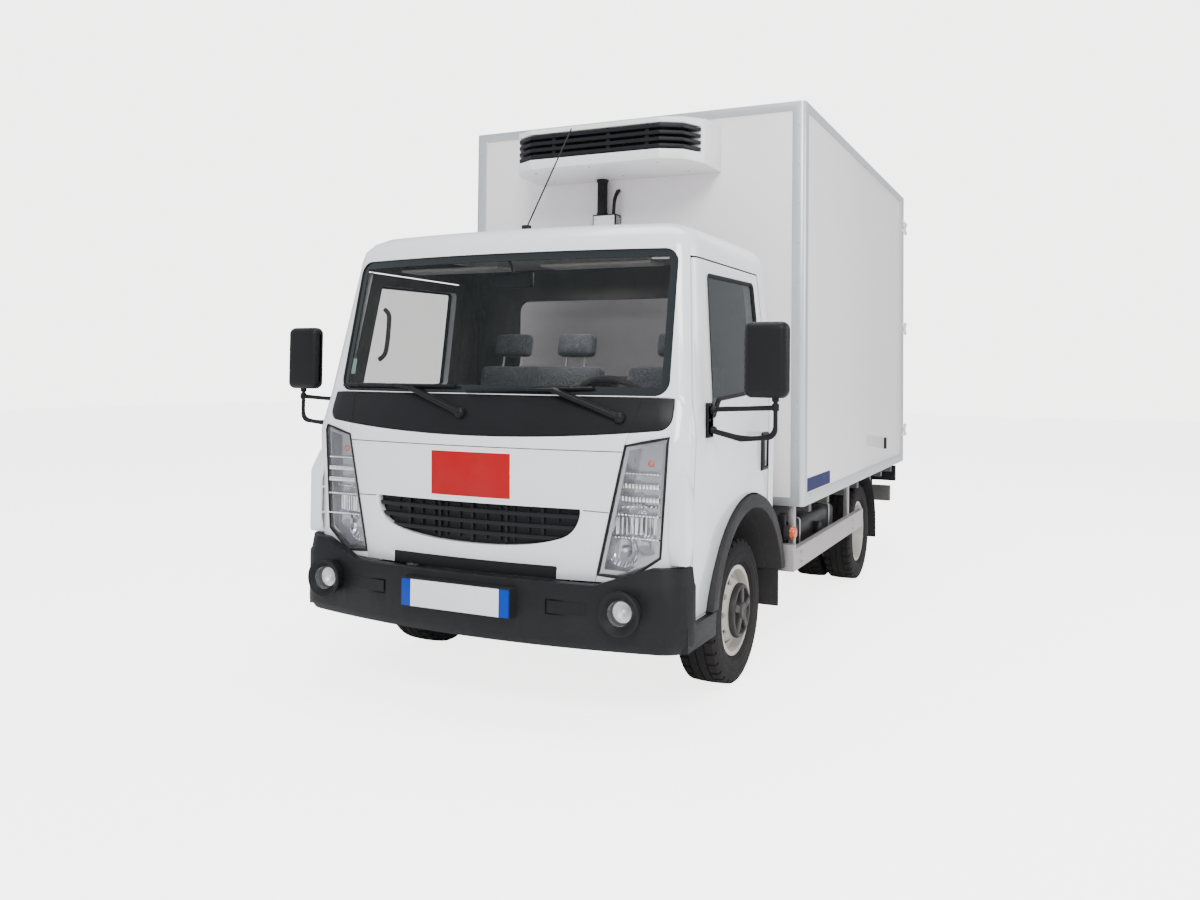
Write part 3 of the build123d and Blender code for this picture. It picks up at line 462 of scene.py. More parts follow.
# %% Bare metal
def metal(name, color, rough, stretch, depth=0.00004, top=0.9, dust=0.35):
    finish = Finish(name, Metallic=0.9)
    film = road_film(finish, top, dust)
    lines = finish.noise(55, 4, 0.7, stretch)
    finish.set(Base_Color=finish.mix(film, color, ROAD_DUST), Roughness=rough + lines * 0.22 + film * 0.4)
    return finish.bump(lines, depth).material


profile_aluminium = metal("profile_aluminium", (0.46, 0.44, 0.44), 0.34, (12, 0.6, 12))
upright_aluminium = metal("upright_aluminium", (0.62, 0.63, 0.64), 0.34, (12, 12, 0.6))
zinc_steel = metal("zinc_steel", (0.50, 0.50, 0.50), 0.32, (6, 6, 1))
exhaust_steel = metal("exhaust_steel", (0.22, 0.19, 0.17), 0.52, (2, 2, 2), 0.0002)
cast_grey = painted("cast_grey", (0.06, 0.06, 0.06), 0.6, 1.0, 0.5, coat=0.0, ripple=0.0004)
reflector_chrome = Finish("reflector_chrome", Base_Color=(0.86, 0.87, 0.88), Metallic=1.0).material
mirror_glass = Finish("mirror_glass", Base_Color=(0.75, 0.78, 0.80), Metallic=1.0, Roughness=0.02).material


# %% [markdown]
# ## Glass and lenses
# Thin glass is mostly see-through straight on and mostly mirror at a slant, so alpha rises toward a slant.
# The windscreen's printed black border is drawn in the same alpha, so one pane has both.

# %% Glass
def glazed(name, tint, clear_share, rough=0.02):
    finish = Finish(name, Base_Color=tint, Roughness=rough, Specular_IOR_Level=0.4)
    smear = finish.noise(9, 4, 0.6) * 0.03
    finish.set(Alpha=finish.edge_glow(clear_share) + smear)
    return finish


side_glass = glazed("side_glass", (0.012, 0.018, 0.018), 0.42).material
clear_lens = Finish("clear_lens", Base_Color=(0.55, 0.56, 0.58), Roughness=0.03, Specular_IOR_Level=0.8)
clear_lens.set(Alpha=clear_lens.edge_glow(0.05) + clear_lens.noise(9, 4, 0.6) * 0.02)
clear_lens = clear_lens.bump(clear_lens.noise(40, 1, 0.5, (3, 1, 0.2)), 0.0002).material

# %% Dress the CAD nodes
PLAIN_FINISH = {
    "chassis_frame": chassis_black, "front_suspension": chassis_black, "rear_axle": chassis_black,
    "driveline": cast_grey, "box_bearers": chassis_black, "exhaust": exhaust_steel,
    "rear_underrun": chassis_black, "mudguards": bumper_black,
    "front_panel": cab_white, "cowl": cowl_black, "bumper": bumper_black, "arch_flares": flare_grey,
    "dashboard": dash_black, "box_rails": upright_aluminium, "box_floor": box_white,
    "box_front_wall": box_white, "box_roof": box_white, "rear_hinges": box_white,
    "unit_case": unit_white, "unit_grille": louvre_black, "evaporator": unit_white,
    "tanks": cowl_black, "antenna": seal_rubber, "wipers": cowl_black, "grille": louvre_black,
    "steering_wheel": dash_black, "headlamp_lenses": clear_lens, "fog_lamps": clear_lens,
    "unit_pipes": seal_rubber,
}
for side in ("left", "right"):
    PLAIN_FINISH[f"knuckle_{side}"] = chassis_black
    PLAIN_FINISH[f"rims_rear_{side}"] = wheel_silver
    PLAIN_FINISH[f"side_guard_{side}"] = profile_aluminium
    PLAIN_FINISH[f"box_side_{side}"] = box_white
    PLAIN_FINISH[f"rear_door_{side}"] = box_white
    PLAIN_FINISH[f"rear_door_bars_{side}"] = zinc_steel
    PLAIN_FINISH[f"door_glass_{side}"] = side_glass
    PLAIN_FINISH[f"mirror_{side}"] = mirror_black
UNROUNDED = ("door_glass_left", "door_glass_right", "headlamp_lenses", "fog_lamps")
for name, finish in PLAIN_FINISH.items():
    dress(name, finish, width=0 if name in UNROUNDED else 0.002)
print("dressed", len(PLAIN_FINISH), "nodes")

# %% [markdown]
# ## Windscreen and plates
# The windscreen is one bonded pane with a printed black border, so the border is a mask in its finish: the
# distance to the nearest edge of its outline. Number plate and bonnet sign carry no words; the plate keeps
# its blue ends and the sign its thin white line.

# %% Windscreen finish
SCREEN_LOW, SCREEN_HIGH = 1.316, 1.922
SCREEN_HALF_LOW, SCREEN_HALF_HIGH = 0.828, 0.815
BORDER = 0.034
screen_finish = glazed("screen_glass", (0.010, 0.014, 0.015), 0.22)
across, height = abs(screen_finish.axis(0)), screen_finish.axis(2)
narrowing = (SCREEN_HALF_LOW - SCREEN_HALF_HIGH) / (SCREEN_HIGH - SCREEN_LOW)
side_room = SCREEN_HALF_LOW - (height - SCREEN_LOW) * narrowing - across
room = side_room.least(height - SCREEN_LOW).least(SCREEN_HIGH - height)
border = room.step(BORDER + 0.003, BORDER)
screen_finish.set(Alpha=border.most(screen_finish.edge_glow(0.22)))
screen_glass = screen_finish.material
dress("cab_glass", screen_glass, width=0)


# %% Plate and sign finishes
def edge_lined(name, fill, line, middle, half, width):
    """A flat colour with a line of another just inside its edges."""
    finish = Finish(name, Roughness=0.45, Specular_IOR_Level=0.12)
    x_room = half[0] - abs(finish.axis(0) - middle[0])
    z_room = half[1] - abs(finish.axis(2) - middle[1])
    mask = x_room.least(z_room).step(width + 0.001, width)
    fade = finish.noise(8, 4) * 0.06
    return finish.set(Base_Color=finish.mix(mask, finish.mix(fade, fill, (0.5, 0.3, 0.28)), line)).material


sign_red = edge_lined("sign_red", (0.36, 0.0, 0.004), (0.85, 0.85, 0.85), (0, 0.9825), (0.2, 0.0975), 0.005)
plate_finish = Finish("plate_blank", Roughness=0.4, Specular_IOR_Level=0.15)
end_band = abs(plate_finish.axis(0)).step(0.2135, 0.2145)
plate_dirt = plate_finish.noise(22, 4) * 0.12
plate_white = plate_finish.mix(plate_dirt, (0.78, 0.79, 0.83), ROAD_DUST)
plate_finish.set(Base_Color=plate_finish.mix(end_band, plate_white, (0.0, 0.035, 0.33)))


# %% Plate and sign
def part_of_node(name, test, piece, finish, width=0.001):
    """The faces of a CAD node that pass a test, as a finished piece of their own."""
    obj = copy_node(name)
    edit(obj)
    pick_faces(lambda middle, normal: not test(middle, normal))
    bpy.ops.mesh.delete(type="FACE")
    bpy.ops.object.mode_set(mode="OBJECT")
    if width:
        ease(obj, width)
    return hand_over(obj, piece, finish, body_of[name])


plate = part_of_node("front_plates", lambda m, n: m.z < 0.7, "number_plate", plate_finish.material, 0.0008)
sign = part_of_node("front_plates", lambda m, n: m.z > 0.7, "bonnet_sign", sign_red, 0.0008)
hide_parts("front_plates")
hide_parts("front_plates")

# %% Painted outside and trimmed inside of the cab
cab_trim = moulded("cab_trim", (0.030, 0.031, 0.032), 0.75, 420, 0.0003, top=0.2)
CABIN_MIDDLE = Vector((0, -1.6, 1.45))


def lined(name, inside):
    """A CAD node as a painted outside and a trimmed inside."""
    paint = part_of_node(name, lambda m, n: not inside(m, n), f"{name}_outside", cab_white, 0.002)
    trim = part_of_node(name, inside, f"{name}_trim", cab_trim, 0.002)
    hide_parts(name)
    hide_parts(name)


lined("cab_shell", lambda m, n: (CABIN_MIDDLE - m).dot(n) > 0.02 and abs(m.x) < 0.91 and m.z > 0.80)
lined("door_left", lambda m, n: n.x < -0.5)
lined("door_right", lambda m, n: n.x > 0.5)

# %% [markdown]
# ## Wheels
# A tyre is a ring of profile steps: beads, bulging sidewalls with raised rings, square shoulders and three
# grooves round the tread. Every fourth bay of the outer ribs is pushed in. The cap is turned too, and its
# five spokes are one slab copied round the hub.

# %% Tyres
TYRE_RADIUS, TYRE_WIDTH, BEAD_RADIUS = 0.327, 0.195, 0.1915
TREAD_BAYS = 132
GROOVE_DEPTH = 0.007


def tyre_steps():
    """Profile from the inner bead over the tread to the outer bead and back under the beads."""
    half = TYRE_WIDTH / 2
    r = TYRE_RADIUS
    wall = [(-0.072, BEAD_RADIUS), (-0.0725, 0.207), (-0.082, 0.214), (-0.084, 0.2185), (-0.0905, 0.222),
            (-0.0955, 0.240), (-0.0968, 0.2425), (-0.0968, 0.262), (-0.0955, 0.2645), (-half, 0.268),
            (-0.0955, 0.290), (-0.0905, r - 0.020), (-0.086, r - 0.010)]
    ribs = []
    for low, high in ((-0.080, -0.044), (-0.037, -0.0035), (0.0035, 0.037), (0.044, 0.080)):
        crown_low = r - 0.004 * abs(low / 0.08) ** 2
        crown_high = r - 0.004 * abs(high / 0.08) ** 2
        ribs += [(low, crown_low), (high, crown_high)]
        if high < 0.05:
            ribs += [(high + 0.0005, r - GROOVE_DEPTH), (high + 0.0065, r - GROOVE_DEPTH)]
    far_wall = [(-x, radius) for x, radius in reversed(wall)]
    return wall + ribs + far_wall + [wall[0]]


def model_tyre(place):
    """One tyre with sunken shoulder bays, about the X axis at a place."""
    obj = turned(tyre_steps(), place, "X", TREAD_BAYS, close=False)
    edit(obj)
    centre = Vector(place)

    def shoulder_bay(middle, normal):
        offset = middle - centre
        radius = math.hypot(offset.y, offset.z)
        bay = int((math.atan2(offset.z, offset.y) / (2 * math.pi) + 0.5) * TREAD_BAYS)
        phase = 0 if offset.x > 0 else 2
        return 0.05 < abs(offset.x) < 0.0935 and radius > TYRE_RADIUS - 0.022 and (bay + phase) % 4 == 0

    pick_faces(shoulder_bay)
    bpy.ops.mesh.extrude_region_shrink_fatten(TRANSFORM_OT_shrink_fatten={"value": -0.0055})
    bpy.ops.object.mode_set(mode="OBJECT")
    return obj


def node_middle(name):
    """The middle of a node's box."""
    low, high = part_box(name)
    return (low + high) / 2


TWIN_STEP = 0.110
for side, sign_x in (("left", 1), ("right", -1)):
    front = model_tyre(node_middle(f"tyre_front_{side}"))
    hand_over(front, f"tyre_front_{side}_tread", tyre_black, f"wheel_front_{side}", 40)
    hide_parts(f"tyre_front_{side}")
    twins = node_middle(f"tyres_rear_{side}")
    pair = join([model_tyre(twins + Vector((dx, 0, 0))) for dx in (-TWIN_STEP, TWIN_STEP)])
    hand_over(pair, f"tyres_rear_{side}_tread", tyre_black, f"wheels_rear_{side}", 40)
    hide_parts(f"tyres_rear_{side}")
print("tyres done")


# %% Hub caps and wheel nuts
CAP_FACE = 0.905
CAP_SEAT = 0.8735
CAP_RADIUS = 0.1225


def around(obj, count, centre, start=0.0):
    """Copies of a piece turned about an X axis through a centre, joined as one."""
    pieces = [obj]
    for index in range(1, count):
        only(obj)
        bpy.ops.object.duplicate()
        copy = bpy.context.object
        angle = start + 2 * math.pi * index / count
        turn_about = (Matrix.Translation(centre) @ Matrix.Rotation(angle, 4, "X")
                      @ Matrix.Translation(-Vector(centre)))
        copy.data.transform(turn_about)
        pieces.append(copy)
    return join(pieces)


def hub_cap(centre, face_x):
    """Black cap with a rim, a deep dish, five spokes and a raised middle."""
    back = face_x - 0.034
    steps = [(0, CAP_RADIUS), (0.012, CAP_RADIUS), (0.022, 0.118), (0.025, 0.112), (0.024, 0.103),
             (0.010, 0.098), (0.010, 0.044), (0.028, 0.040), (0.033, 0.034), (0.033, 0.012), (0.031, 0.001)]
    dish = turned(steps, (back, centre.y, centre.z), "X", 60)
    spoke = slab((back + 0.008, centre.y - 0.017, centre.z + 0.034),
                 (back + 0.028, centre.y + 0.017, centre.z + 0.106), 0.005, 3)
    edit(spoke)
    pick_faces(lambda m, n: n.z > 0.9)
    bpy.ops.transform.resize(value=(1, 1.35, 1))
    bpy.ops.object.mode_set(mode="OBJECT")
    return join([dish, around(spoke, 5, centre)])


def wheel_nuts(centre, x, ring, count, outward_x):
    """Hexagonal nuts on studs in a circle."""
    steps = [(0, 0.0155), (0.003, 0.0155), (0.004, 0.0125), (0.017, 0.0122), (0.019, 0.010),
             (0.019, 0.006), (0.027, 0.0055), (0.028, 0.003)]
    nut = turned(steps, (0, 0, 0), "X", 12)
    if outward_x < 0:
        edit(nut)
        bpy.ops.mesh.select_all(action="SELECT")
        bpy.ops.transform.resize(value=(-1, 1, 1), center_override=(0, 0, 0))
        bpy.ops.mesh.flip_normals()
        bpy.ops.object.mode_set(mode="OBJECT")
    nut.data.transform(Matrix.Translation((x, centre.y, centre.z + ring)))
    return around(nut, count, Vector((x, centre.y, centre.z)))


left_centre = node_middle("tyre_front_left")
cap_left = hub_cap(left_centre, CAP_FACE)
hand_over(cap_left, "hub_cap_left", hub_black, "wheel_front_left", 30)
other_side(cap_left, "wheel_front_right")
for side, sign_x in (("left", 1), ("right", -1)):
    hub = node_middle(f"tyre_front_{side}")
    rim = part_of_node(f"rim_front_{side}", lambda m, n: not (
        abs(m.x) > CAP_SEAT and math.hypot(m.y - hub.y, m.z - hub.z) < CAP_RADIUS),
        f"rim_front_{side}_disc", wheel_silver, 0.0015)
    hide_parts(f"rim_front_{side}")
    hub = node_middle(f"tyres_rear_{side}")
    nuts = wheel_nuts(hub, sign_x * 0.708, 0.098, 6, sign_x)
    hand_over(nuts, f"wheel_nuts_rear_{side}", zinc_steel, f"wheels_rear_{side}", 30)
print("wheels done")

# %% [markdown]
# ## Headlamps
# Behind the clear lens a tall bright housing holds two round bowls at the bottom, a fluted band, a row of
# beads and chrome bars in the middle, and the orange indicator at the top. The housing is given a
# darkened chrome, which paints the shade in the gaps between these parts. A black gasket runs round it.

# %% Lamp finishes
orange_lens = Finish("orange_lens", Base_Color=(0.60, 0.075, 0.006), Roughness=0.18, Coat_Weight=0.6)
orange_lens = orange_lens.bump(orange_lens.cells(90), 0.0015).material
red_lens = Finish("red_lens", Base_Color=(0.45, 0.01, 0.01), Roughness=0.15, Coat_Weight=0.7)
red_lens = red_lens.bump(red_lens.cells(110), 0.0015).material
bulb_glass = Finish("bulb_glass", Base_Color=(0.8, 0.82, 0.85), Roughness=0.05, Coat_Weight=1.0).material
fluted_chrome = Finish("fluted_chrome", Base_Color=(0.80, 0.81, 0.83), Metallic=1.0, Roughness=0.10)
flutes = fluted_chrome.node("ShaderNodeMath", {"operation": "SINE"}, {0: fluted_chrome.axis(0) * 420})
fluted_chrome = fluted_chrome.bump(flutes, 0.002).material


# %% Lamp insides
def edge_seal(name, face_test, radius, piece, finish):
    """A round seal along the outer edge of those faces of a CAD node that pass a test."""
    obj = copy_node(name)
    edit(obj)
    pick_faces(lambda middle, normal: not face_test(middle, normal))
    bpy.ops.mesh.delete(type="FACE")
    bpy.ops.mesh.select_mode(type="EDGE")
    mesh = bmesh.from_edit_mesh(obj.data)
    for edge in mesh.edges:
        edge.select_set(len(edge.link_faces) == 1)
    bmesh.update_edit_mesh(obj.data)
    bpy.ops.mesh.select_all(action="INVERT")
    bpy.ops.mesh.delete(type="EDGE_FACE")
    bpy.ops.object.mode_set(mode="OBJECT")
    only(obj)
    bpy.ops.object.convert(target="CURVE")
    obj = bpy.context.object
    obj.data.bevel_depth = radius
    obj.data.bevel_resolution = 2
    bpy.ops.object.convert(target="MESH")
    return hand_over(bpy.context.object, piece, finish, body_of[name], 60)


def bowl(x, y, z, radius, depth):
    """A parabolic reflector open to the front, in a closed outer shell; its bulb is made apart."""
    steps = [(0, radius * 1.04), (0, radius)]
    for index in range(1, 8):
        share = index / 8
        steps.append((depth * share, radius * math.sqrt(1 - share)))
    steps += [(depth, radius * 0.12), (depth * 1.05, radius * 0.10), (depth * 1.05, radius * 1.04),
              (0, radius * 1.04)]
    shell = turned(steps, (x, y, z), "Y", 40, close=False)
    return shell


def bulb(x, y, z):
    steps = [(0, 0.009), (-0.018, 0.0095), (-0.026, 0.008), (-0.030, 0.003)]
    return turned(steps, (x, y, z), "Y", 16)


lamp_pieces = [bowl(0.655, -2.152, 0.702, 0.060, 0.050), bowl(0.755, -2.130, 0.745, 0.052, 0.045)]
bulbs = [bulb(0.655, -2.104, 0.702), bulb(0.755, -2.087, 0.745)]
LAMP_BARS = ((0.955, 0.018), (0.904, 0.018), (0.846, 0.007), (0.757, 0.007), (1.010, 0.006))
LAMP_LEAN = 0.145


def lamp_bar(z, tall):
    """A chrome bar across the lamp that bends back with its outer end."""
    lean = LAMP_LEAN * (z - 0.80)
    bar = slab((0.632 + lean, -2.178, z), (0.822, -2.085, z + tall), 0.0025, 3)
    edit(bar)
    pick_faces(lambda m, n: n.x > 0.9)
    bpy.ops.transform.translate(value=(0, 0.048, 0.004))
    bpy.ops.object.mode_set(mode="OBJECT")
    return bar


lamp_pieces += [lamp_bar(z, tall) for z, tall in LAMP_BARS]
BEADS, BEAD_Z, BEAD_STEPS = 10, 0.879, [(0, 0.007), (-0.004, 0.006), (-0.007, 0.003)]
FLUTE_FOOT, FLUTE_TOP, FLUTE_RADIUS = 0.772, 0.838, 0.0062
for index in range(BEADS):
    share = index / (BEADS - 1)
    x, y = 0.645 + 0.165 * share, -2.172 + 0.044 * share
    lamp_pieces.append(turned(BEAD_STEPS, (x, y, BEAD_Z + 0.004 * share), "Y", 12))
    flute_ends = [(x - 0.006, y + 0.006, FLUTE_FOOT), (x - 0.004, y + 0.006, FLUTE_TOP)]
    lamp_pieces.append(pipe(flute_ends, FLUTE_RADIUS, 8, smooth=False))
lamp_pieces.append(turned([(0.020, 0.010), (0.004, 0.030), (0.0, 0.034), (0.003, 0.036), (0.022, 0.014)],
                          (0.765, -2.125, 1.050), "Y", 32))
bowls = hand_over(join(lamp_pieces), "headlamp_bowls_left", fluted_chrome, "cab", 40)
bulbs = hand_over(join(bulbs), "headlamp_bulbs_left", bulb_glass, "cab", 40)
indicator = turned([(0, 0.015), (-0.006, 0.015), (-0.012, 0.012), (-0.016, 0.006), (-0.017, 0.001)],
                   (0.765, -2.122, 1.050), "Y", 24)
hand_over(indicator, "indicator_left", orange_lens, "cab", 40)
for piece, slot in ((bowls, "chrome"), (bulbs, "lens"), (indicator, "lens")):
    other_side(piece, "cab")
# Darkened chrome for the CAD housing: painted shade in the gaps between bowls, bars and beads.
lamp_inside = Finish("lamp_inside", Base_Color=(0.34, 0.34, 0.36), Metallic=1.0, Roughness=0.16).material
dress("headlamps", lamp_inside, width=0)
edge_seal("headlamp_lenses", lambda m, n: n.y < -0.3, 0.0055, "headlamp_gaskets", seal_rubber)
edge_seal("cab_glass", lambda m, n: n.y < -0.5 and m.y < -1.5, 0.0045, "windscreen_seal", seal_rubber)
for side, sign_x in (("left", 1), ("right", -1)):
    edge_seal(f"door_glass_{side}", lambda m, n: n.x * sign_x > 0.7, 0.0105, f"door_glass_seal_{side}",
              seal_rubber)
print("headlamps done")

# %% [markdown]
# ## Mirrors and wipers
# Each mirror head is a soft-edged shell with the glass set into its rear side, on two bent tubes from a
# bracket plate. A wiper is a thick arm with a joint cap at its pivot and a thin blade carried in
# the middle.

# %% Mirrors
MIRROR_MIDDLE = Vector((1.184, -1.959, 1.465))
MIRROR_SIZE = Vector((0.180, 0.074, 0.300))


def mirror_head():
    """Shell with a crowned front and a recessed back."""
    low, high = MIRROR_MIDDLE - MIRROR_SIZE / 2, MIRROR_MIDDLE + MIRROR_SIZE / 2
    head = slab(low, high, 0.031, 7)
    edit(head)
    pick_faces(lambda m, n: n.y > 0.9)
    bpy.ops.mesh.inset(thickness=0.004)
    bpy.ops.mesh.extrude_region_move(TRANSFORM_OT_translate={"value": (0, -0.012, 0)})
    bpy.ops.object.mode_set(mode="OBJECT")
    return head


def mirror_pane():
    """Main glass above a wide-angle glass."""
    x0, x1 = MIRROR_MIDDLE.x - 0.070, MIRROR_MIDDLE.x + 0.070
    y = MIRROR_MIDDLE.y + MIRROR_SIZE.y / 2
    z = MIRROR_MIDDLE.z
    return join([slab((x0, y - 0.011, z - 0.052), (x1, y - 0.007, z + 0.124), 0.002),
                 slab((x0, y - 0.011, z - 0.124), (x1, y - 0.006, z - 0.060), 0.002)])


def mirror_arms():
    """Bracket plate, the upper and lower tube, and the clamps where the upright tube meets the upper one."""
    near_y = -1.940
    post = Vector((MIRROR_MIDDLE.x + 0.030, near_y, 0))
    plate = slab((0.9355, -1.980, 1.150), (0.947, -1.920, 1.290), 0.006, 3)
    upper = pipe([(0.944, near_y, 1.262), (0.985, near_y, 1.268), (1.10, near_y, 1.270),
                  (post.x, near_y, 1.278)], 0.009)
    lower = pipe([(0.944, near_y, 1.180), (0.985, near_y, 1.172), (1.080, near_y, 1.150),
                  (post.x - 0.03, near_y, 1.158), (post.x, near_y, 1.185), (post.x, near_y, 1.240),
                  (post.x, near_y, 1.330)], 0.009)
    clamps = [turned([(0, 0.013), (0.004, 0.0145), (0.024, 0.0145), (0.028, 0.013)],
                     (post.x, near_y, z), "Z", 20) for z in (1.264, 1.300)]
    bosses = [turned([(0, 0.016), (0.016, 0.015), (0.022, 0.011)], (0.944, near_y, z), "X", 20)
              for z in (1.181, 1.262)]
    bolts = [turned([(0, 0.006), (0.004, 0.006), (0.005, 0.004)], (0.946, y, z), "X", 6)
             for y in (-1.968, -1.932) for z in (1.160, 1.222, 1.280)]
    return join([plate, upper, lower, *clamps, *bosses, *bolts])


head = hand_over(mirror_head(), "mirror_head_left", mirror_black, "door_left", 50)
pane = hand_over(mirror_pane(), "mirror_glass_left", mirror_glass, "door_left", 40)
arms = hand_over(mirror_arms(), "mirror_arms_left", mirror_black, "door_left", 45)
for piece, slot in ((head, "black_plastic"), (pane, "chrome"), (arms, "black_plastic")):
    other_side(piece, "door_right")
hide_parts("mirror_left")
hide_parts("mirror_right")

# %% Wipers
SCREEN_LEAN = (0.295 - 0.164) / (1.926 - 1.312)


def screen_front(x, z):
    """Depth of the cab's front face at a place on it, from its bow and its lean."""
    bow_radius = 3.850
    front = -2.196 + max(0.0, z - 1.312) * SCREEN_LEAN - max(0.0, 1.312 - z) * 0.373
    return front + bow_radius - math.sqrt(bow_radius ** 2 - x ** 2)


def on_screen(x, z, lift):
    return Vector((x, screen_front(x, z) - lift, z))


def wiper(pivot, knee, blade_start, blade_end):
    """Cap, arm, sprung link and blade, laid along the front."""
    cap = turned([(0, 0.024), (-0.012, 0.023), (-0.022, 0.018), (-0.026, 0.006)],
                 on_screen(*pivot, 0.002), "Y", 24)
    arm = pipe([on_screen(*pivot, 0.020), on_screen(*knee, 0.030)], 0.0105, 8, smooth=False)
    middle = ((blade_start[0] + blade_end[0]) / 2, (blade_start[1] + blade_end[1]) / 2)
    link = pipe([on_screen(*knee, 0.030), on_screen(*middle, 0.018)], 0.0055, 8, smooth=False)
    spots = [(blade_start[0] + (blade_end[0] - blade_start[0]) * share / 6,
              blade_start[1] + (blade_end[1] - blade_start[1]) * share / 6) for share in range(7)]
    frame_bar = pipe([on_screen(*spot, 0.015) for spot in spots], 0.0045, 8)
    rubber = pipe([on_screen(*spot, 0.004) for spot in spots], 0.0045, 8)
    saddles = [turned([(0, 0.007), (-0.020, 0.005)], on_screen(*spots[index], 0.002), "Y", 8)
               for index in (1, 3, 5)]
    return join([cap, arm, link, frame_bar, rubber, *saddles])


wipers = join([wiper((-0.070, 1.233), (-0.357, 1.333), (-0.122, 1.345), (-0.798, 1.339)),
               wiper((0.648, 1.230), (0.354, 1.336), (0.521, 1.346), (-0.061, 1.324))])
hand_over(wipers, "wipers_pair", cowl_black, "cab", 50)
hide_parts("wipers")

# %% [markdown]
# ## Grille, bumper and fog lamps
# Each fog lamp is a chrome bowl with a bulb behind a clear round glass, deep in a ring. Short uprights cross
# the grille's curved bars.

# %% Fog lamps
FOG = Vector((0.718, -2.271, 0.498))
fog_ring = turned([(0.030, 0.042), (-0.016, 0.042), (-0.044, 0.066), (-0.050, 0.080), (-0.047, 0.086),
                   (-0.036, 0.084), (0.030, 0.060)], FOG, "Y", 48, close=False)
hand_over(fog_ring, "fog_ring_left", bumper_black, "cab", 40)
fog_bowl = turned([(-0.008, 0.041), (0.004, 0.036), (0.018, 0.022), (0.024, 0.008), (0.027, 0.008),
                   (0.027, 0.041), (-0.008, 0.041)], FOG, "Y", 40, close=False)
fog_bulb = bulb(FOG.x, FOG.y + 0.020, FOG.z)
fog_bowl = hand_over(join([fog_bowl, fog_bulb]), "fog_bowl_left", reflector_chrome, "cab", 40)
fog_glass = turned([(-0.009, 0.0415), (-0.013, 0.041), (-0.018, 0.034), (-0.021, 0.018), (-0.022, 0.002)],
                   FOG, "Y", 40)
hand_over(fog_glass, "fog_glass_left", clear_lens, "cab", 40)
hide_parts("fog_lamps")
for piece, slot in ((fog_ring, "grey_plastic"), (fog_bowl, "chrome"), (fog_glass, "lens")):
    other_side(piece, "cab")

# %% Grille uprights
GRILLE_HALF_TOP, GRILLE_HALF_LOW = 0.485, 0.235
GRILLE_TOP, GRILLE_LOW = 0.856, 0.716


def nose_front(x, z):
    """Depth of the painted nose at a place: bowed in plan, leaning back a little toward the bonnet."""
    bow_radius = 3.850
    return -2.250 + (1.135 - z) * 0.0238 + bow_radius - math.sqrt(bow_radius ** 2 - x ** 2)


uprights = []
for index in range(-6, 7):
    x = index * 0.066
    share = min(1.0, max(0.0, (GRILLE_HALF_TOP - abs(x)) / (GRILLE_HALF_TOP - GRILLE_HALF_LOW)))
    foot = GRILLE_TOP - (GRILLE_TOP - GRILLE_LOW) * share
    y = nose_front(x, 0.79)
    uprights.append(slab((x - 0.004, y + 0.010, foot), (x + 0.004, y + 0.034, GRILLE_TOP), 0.0015))
hand_over(join(uprights), "grille_uprights", louvre_black, "cab")
print("front done")

# %% [markdown]
# ## Cooling unit
# Under the case sit a few screws; short dark uprights part the louvres. The big hose is corrugated: a
# turned piece whose radius goes up and down.

# %% Unit details
HOSE_TOP, HOSE_FOOT = 2.4897, 2.290
HOSE_PLACE = Vector((-0.140, -0.810, 0))
rings = []
RIDGES = 15
for index in range(RIDGES * 4 + 1):
    share = index / (RIDGES * 4)
    wave = (0.0, 0.0028, 0.0028, 0.0)[index % 4]
    rings.append((HOSE_FOOT + (HOSE_TOP - HOSE_FOOT) * share, 0.0250 + wave))
hose = turned(rings, HOSE_PLACE, "Z", 28)
collar_low = turned([(HOSE_FOOT - 0.004, 0.030), (HOSE_FOOT + 0.012, 0.031), (HOSE_FOOT + 0.016, 0.027)],
                    HOSE_PLACE, "Z", 28)
collar_high = turned([(HOSE_TOP - 0.018, 0.027), (HOSE_TOP - 0.014, 0.032), (HOSE_TOP, 0.034)],
                     HOSE_PLACE, "Z", 28)
hose = join([hose, collar_low, collar_high])
hand_over(hose, "unit_hose", seal_rubber, "chassis", 25)
drain = pipe([(-0.070, -0.810, 2.286), (-0.070, -0.810, 2.33), (-0.064, -0.805, 2.38),
              (-0.058, -0.785, 2.420), (-0.055, -0.768, 2.432)], 0.009)
hand_over(drain, "unit_drain", mirror_black, "chassis", 45)
junction = slab((-0.184, -0.840, 1.900), (-0.042, -0.7663, 2.290), 0.008, 3)
edit(junction)
pick_faces(lambda m, n: n.y < -0.9)
bpy.ops.mesh.inset(thickness=0.010)
bpy.ops.mesh.extrude_region_move(TRANSFORM_OT_translate={"value": (0, -0.004, 0)})
bpy.ops.object.mode_set(mode="OBJECT")
hand_over(junction, "junction_box", unit_white, "chassis")
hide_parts("unit_pipes")


def screw(place, axis, radius=0.006):
    """A pan-head screw with a dimple, facing down or forward."""
    steps = [(0, radius), (-0.0022, radius * 0.95), (-0.0035, radius * 0.6), (-0.0035, radius * 0.3),
             (-0.0025, radius * 0.2)]
    return turned(steps, place, axis, 12)


screws = [screw((x, y, 2.4903), "Z") for x, y in
          ((-0.40, -1.10), (-0.05, -1.14), (0.33, -1.12), (-0.42, -0.86), (0.02, -0.88), (0.40, -0.86))]
screws += [screw((x, -0.8445, z), "Y", 0.005) for x in (-0.166, -0.060) for z in (1.925, 2.265)]
hand_over(join(screws), "unit_screws", zinc_steel, "chassis")
dividers = [slab((x - 0.011, -1.188, 2.543), (x + 0.011, -1.142, 2.673), 0.002) for x in (-0.24, 0.08, 0.30)]
hand_over(join(dividers), "unit_dividers", louvre_black, "chassis")
print("unit done")

# %% [markdown]
# ## Cab inside
# What a person sees through the screen: cloth seats, a grained dash with a hooded cluster and vents, the
# wheel, a mirror, sun visors, a pale headliner, belts and a grab handle.

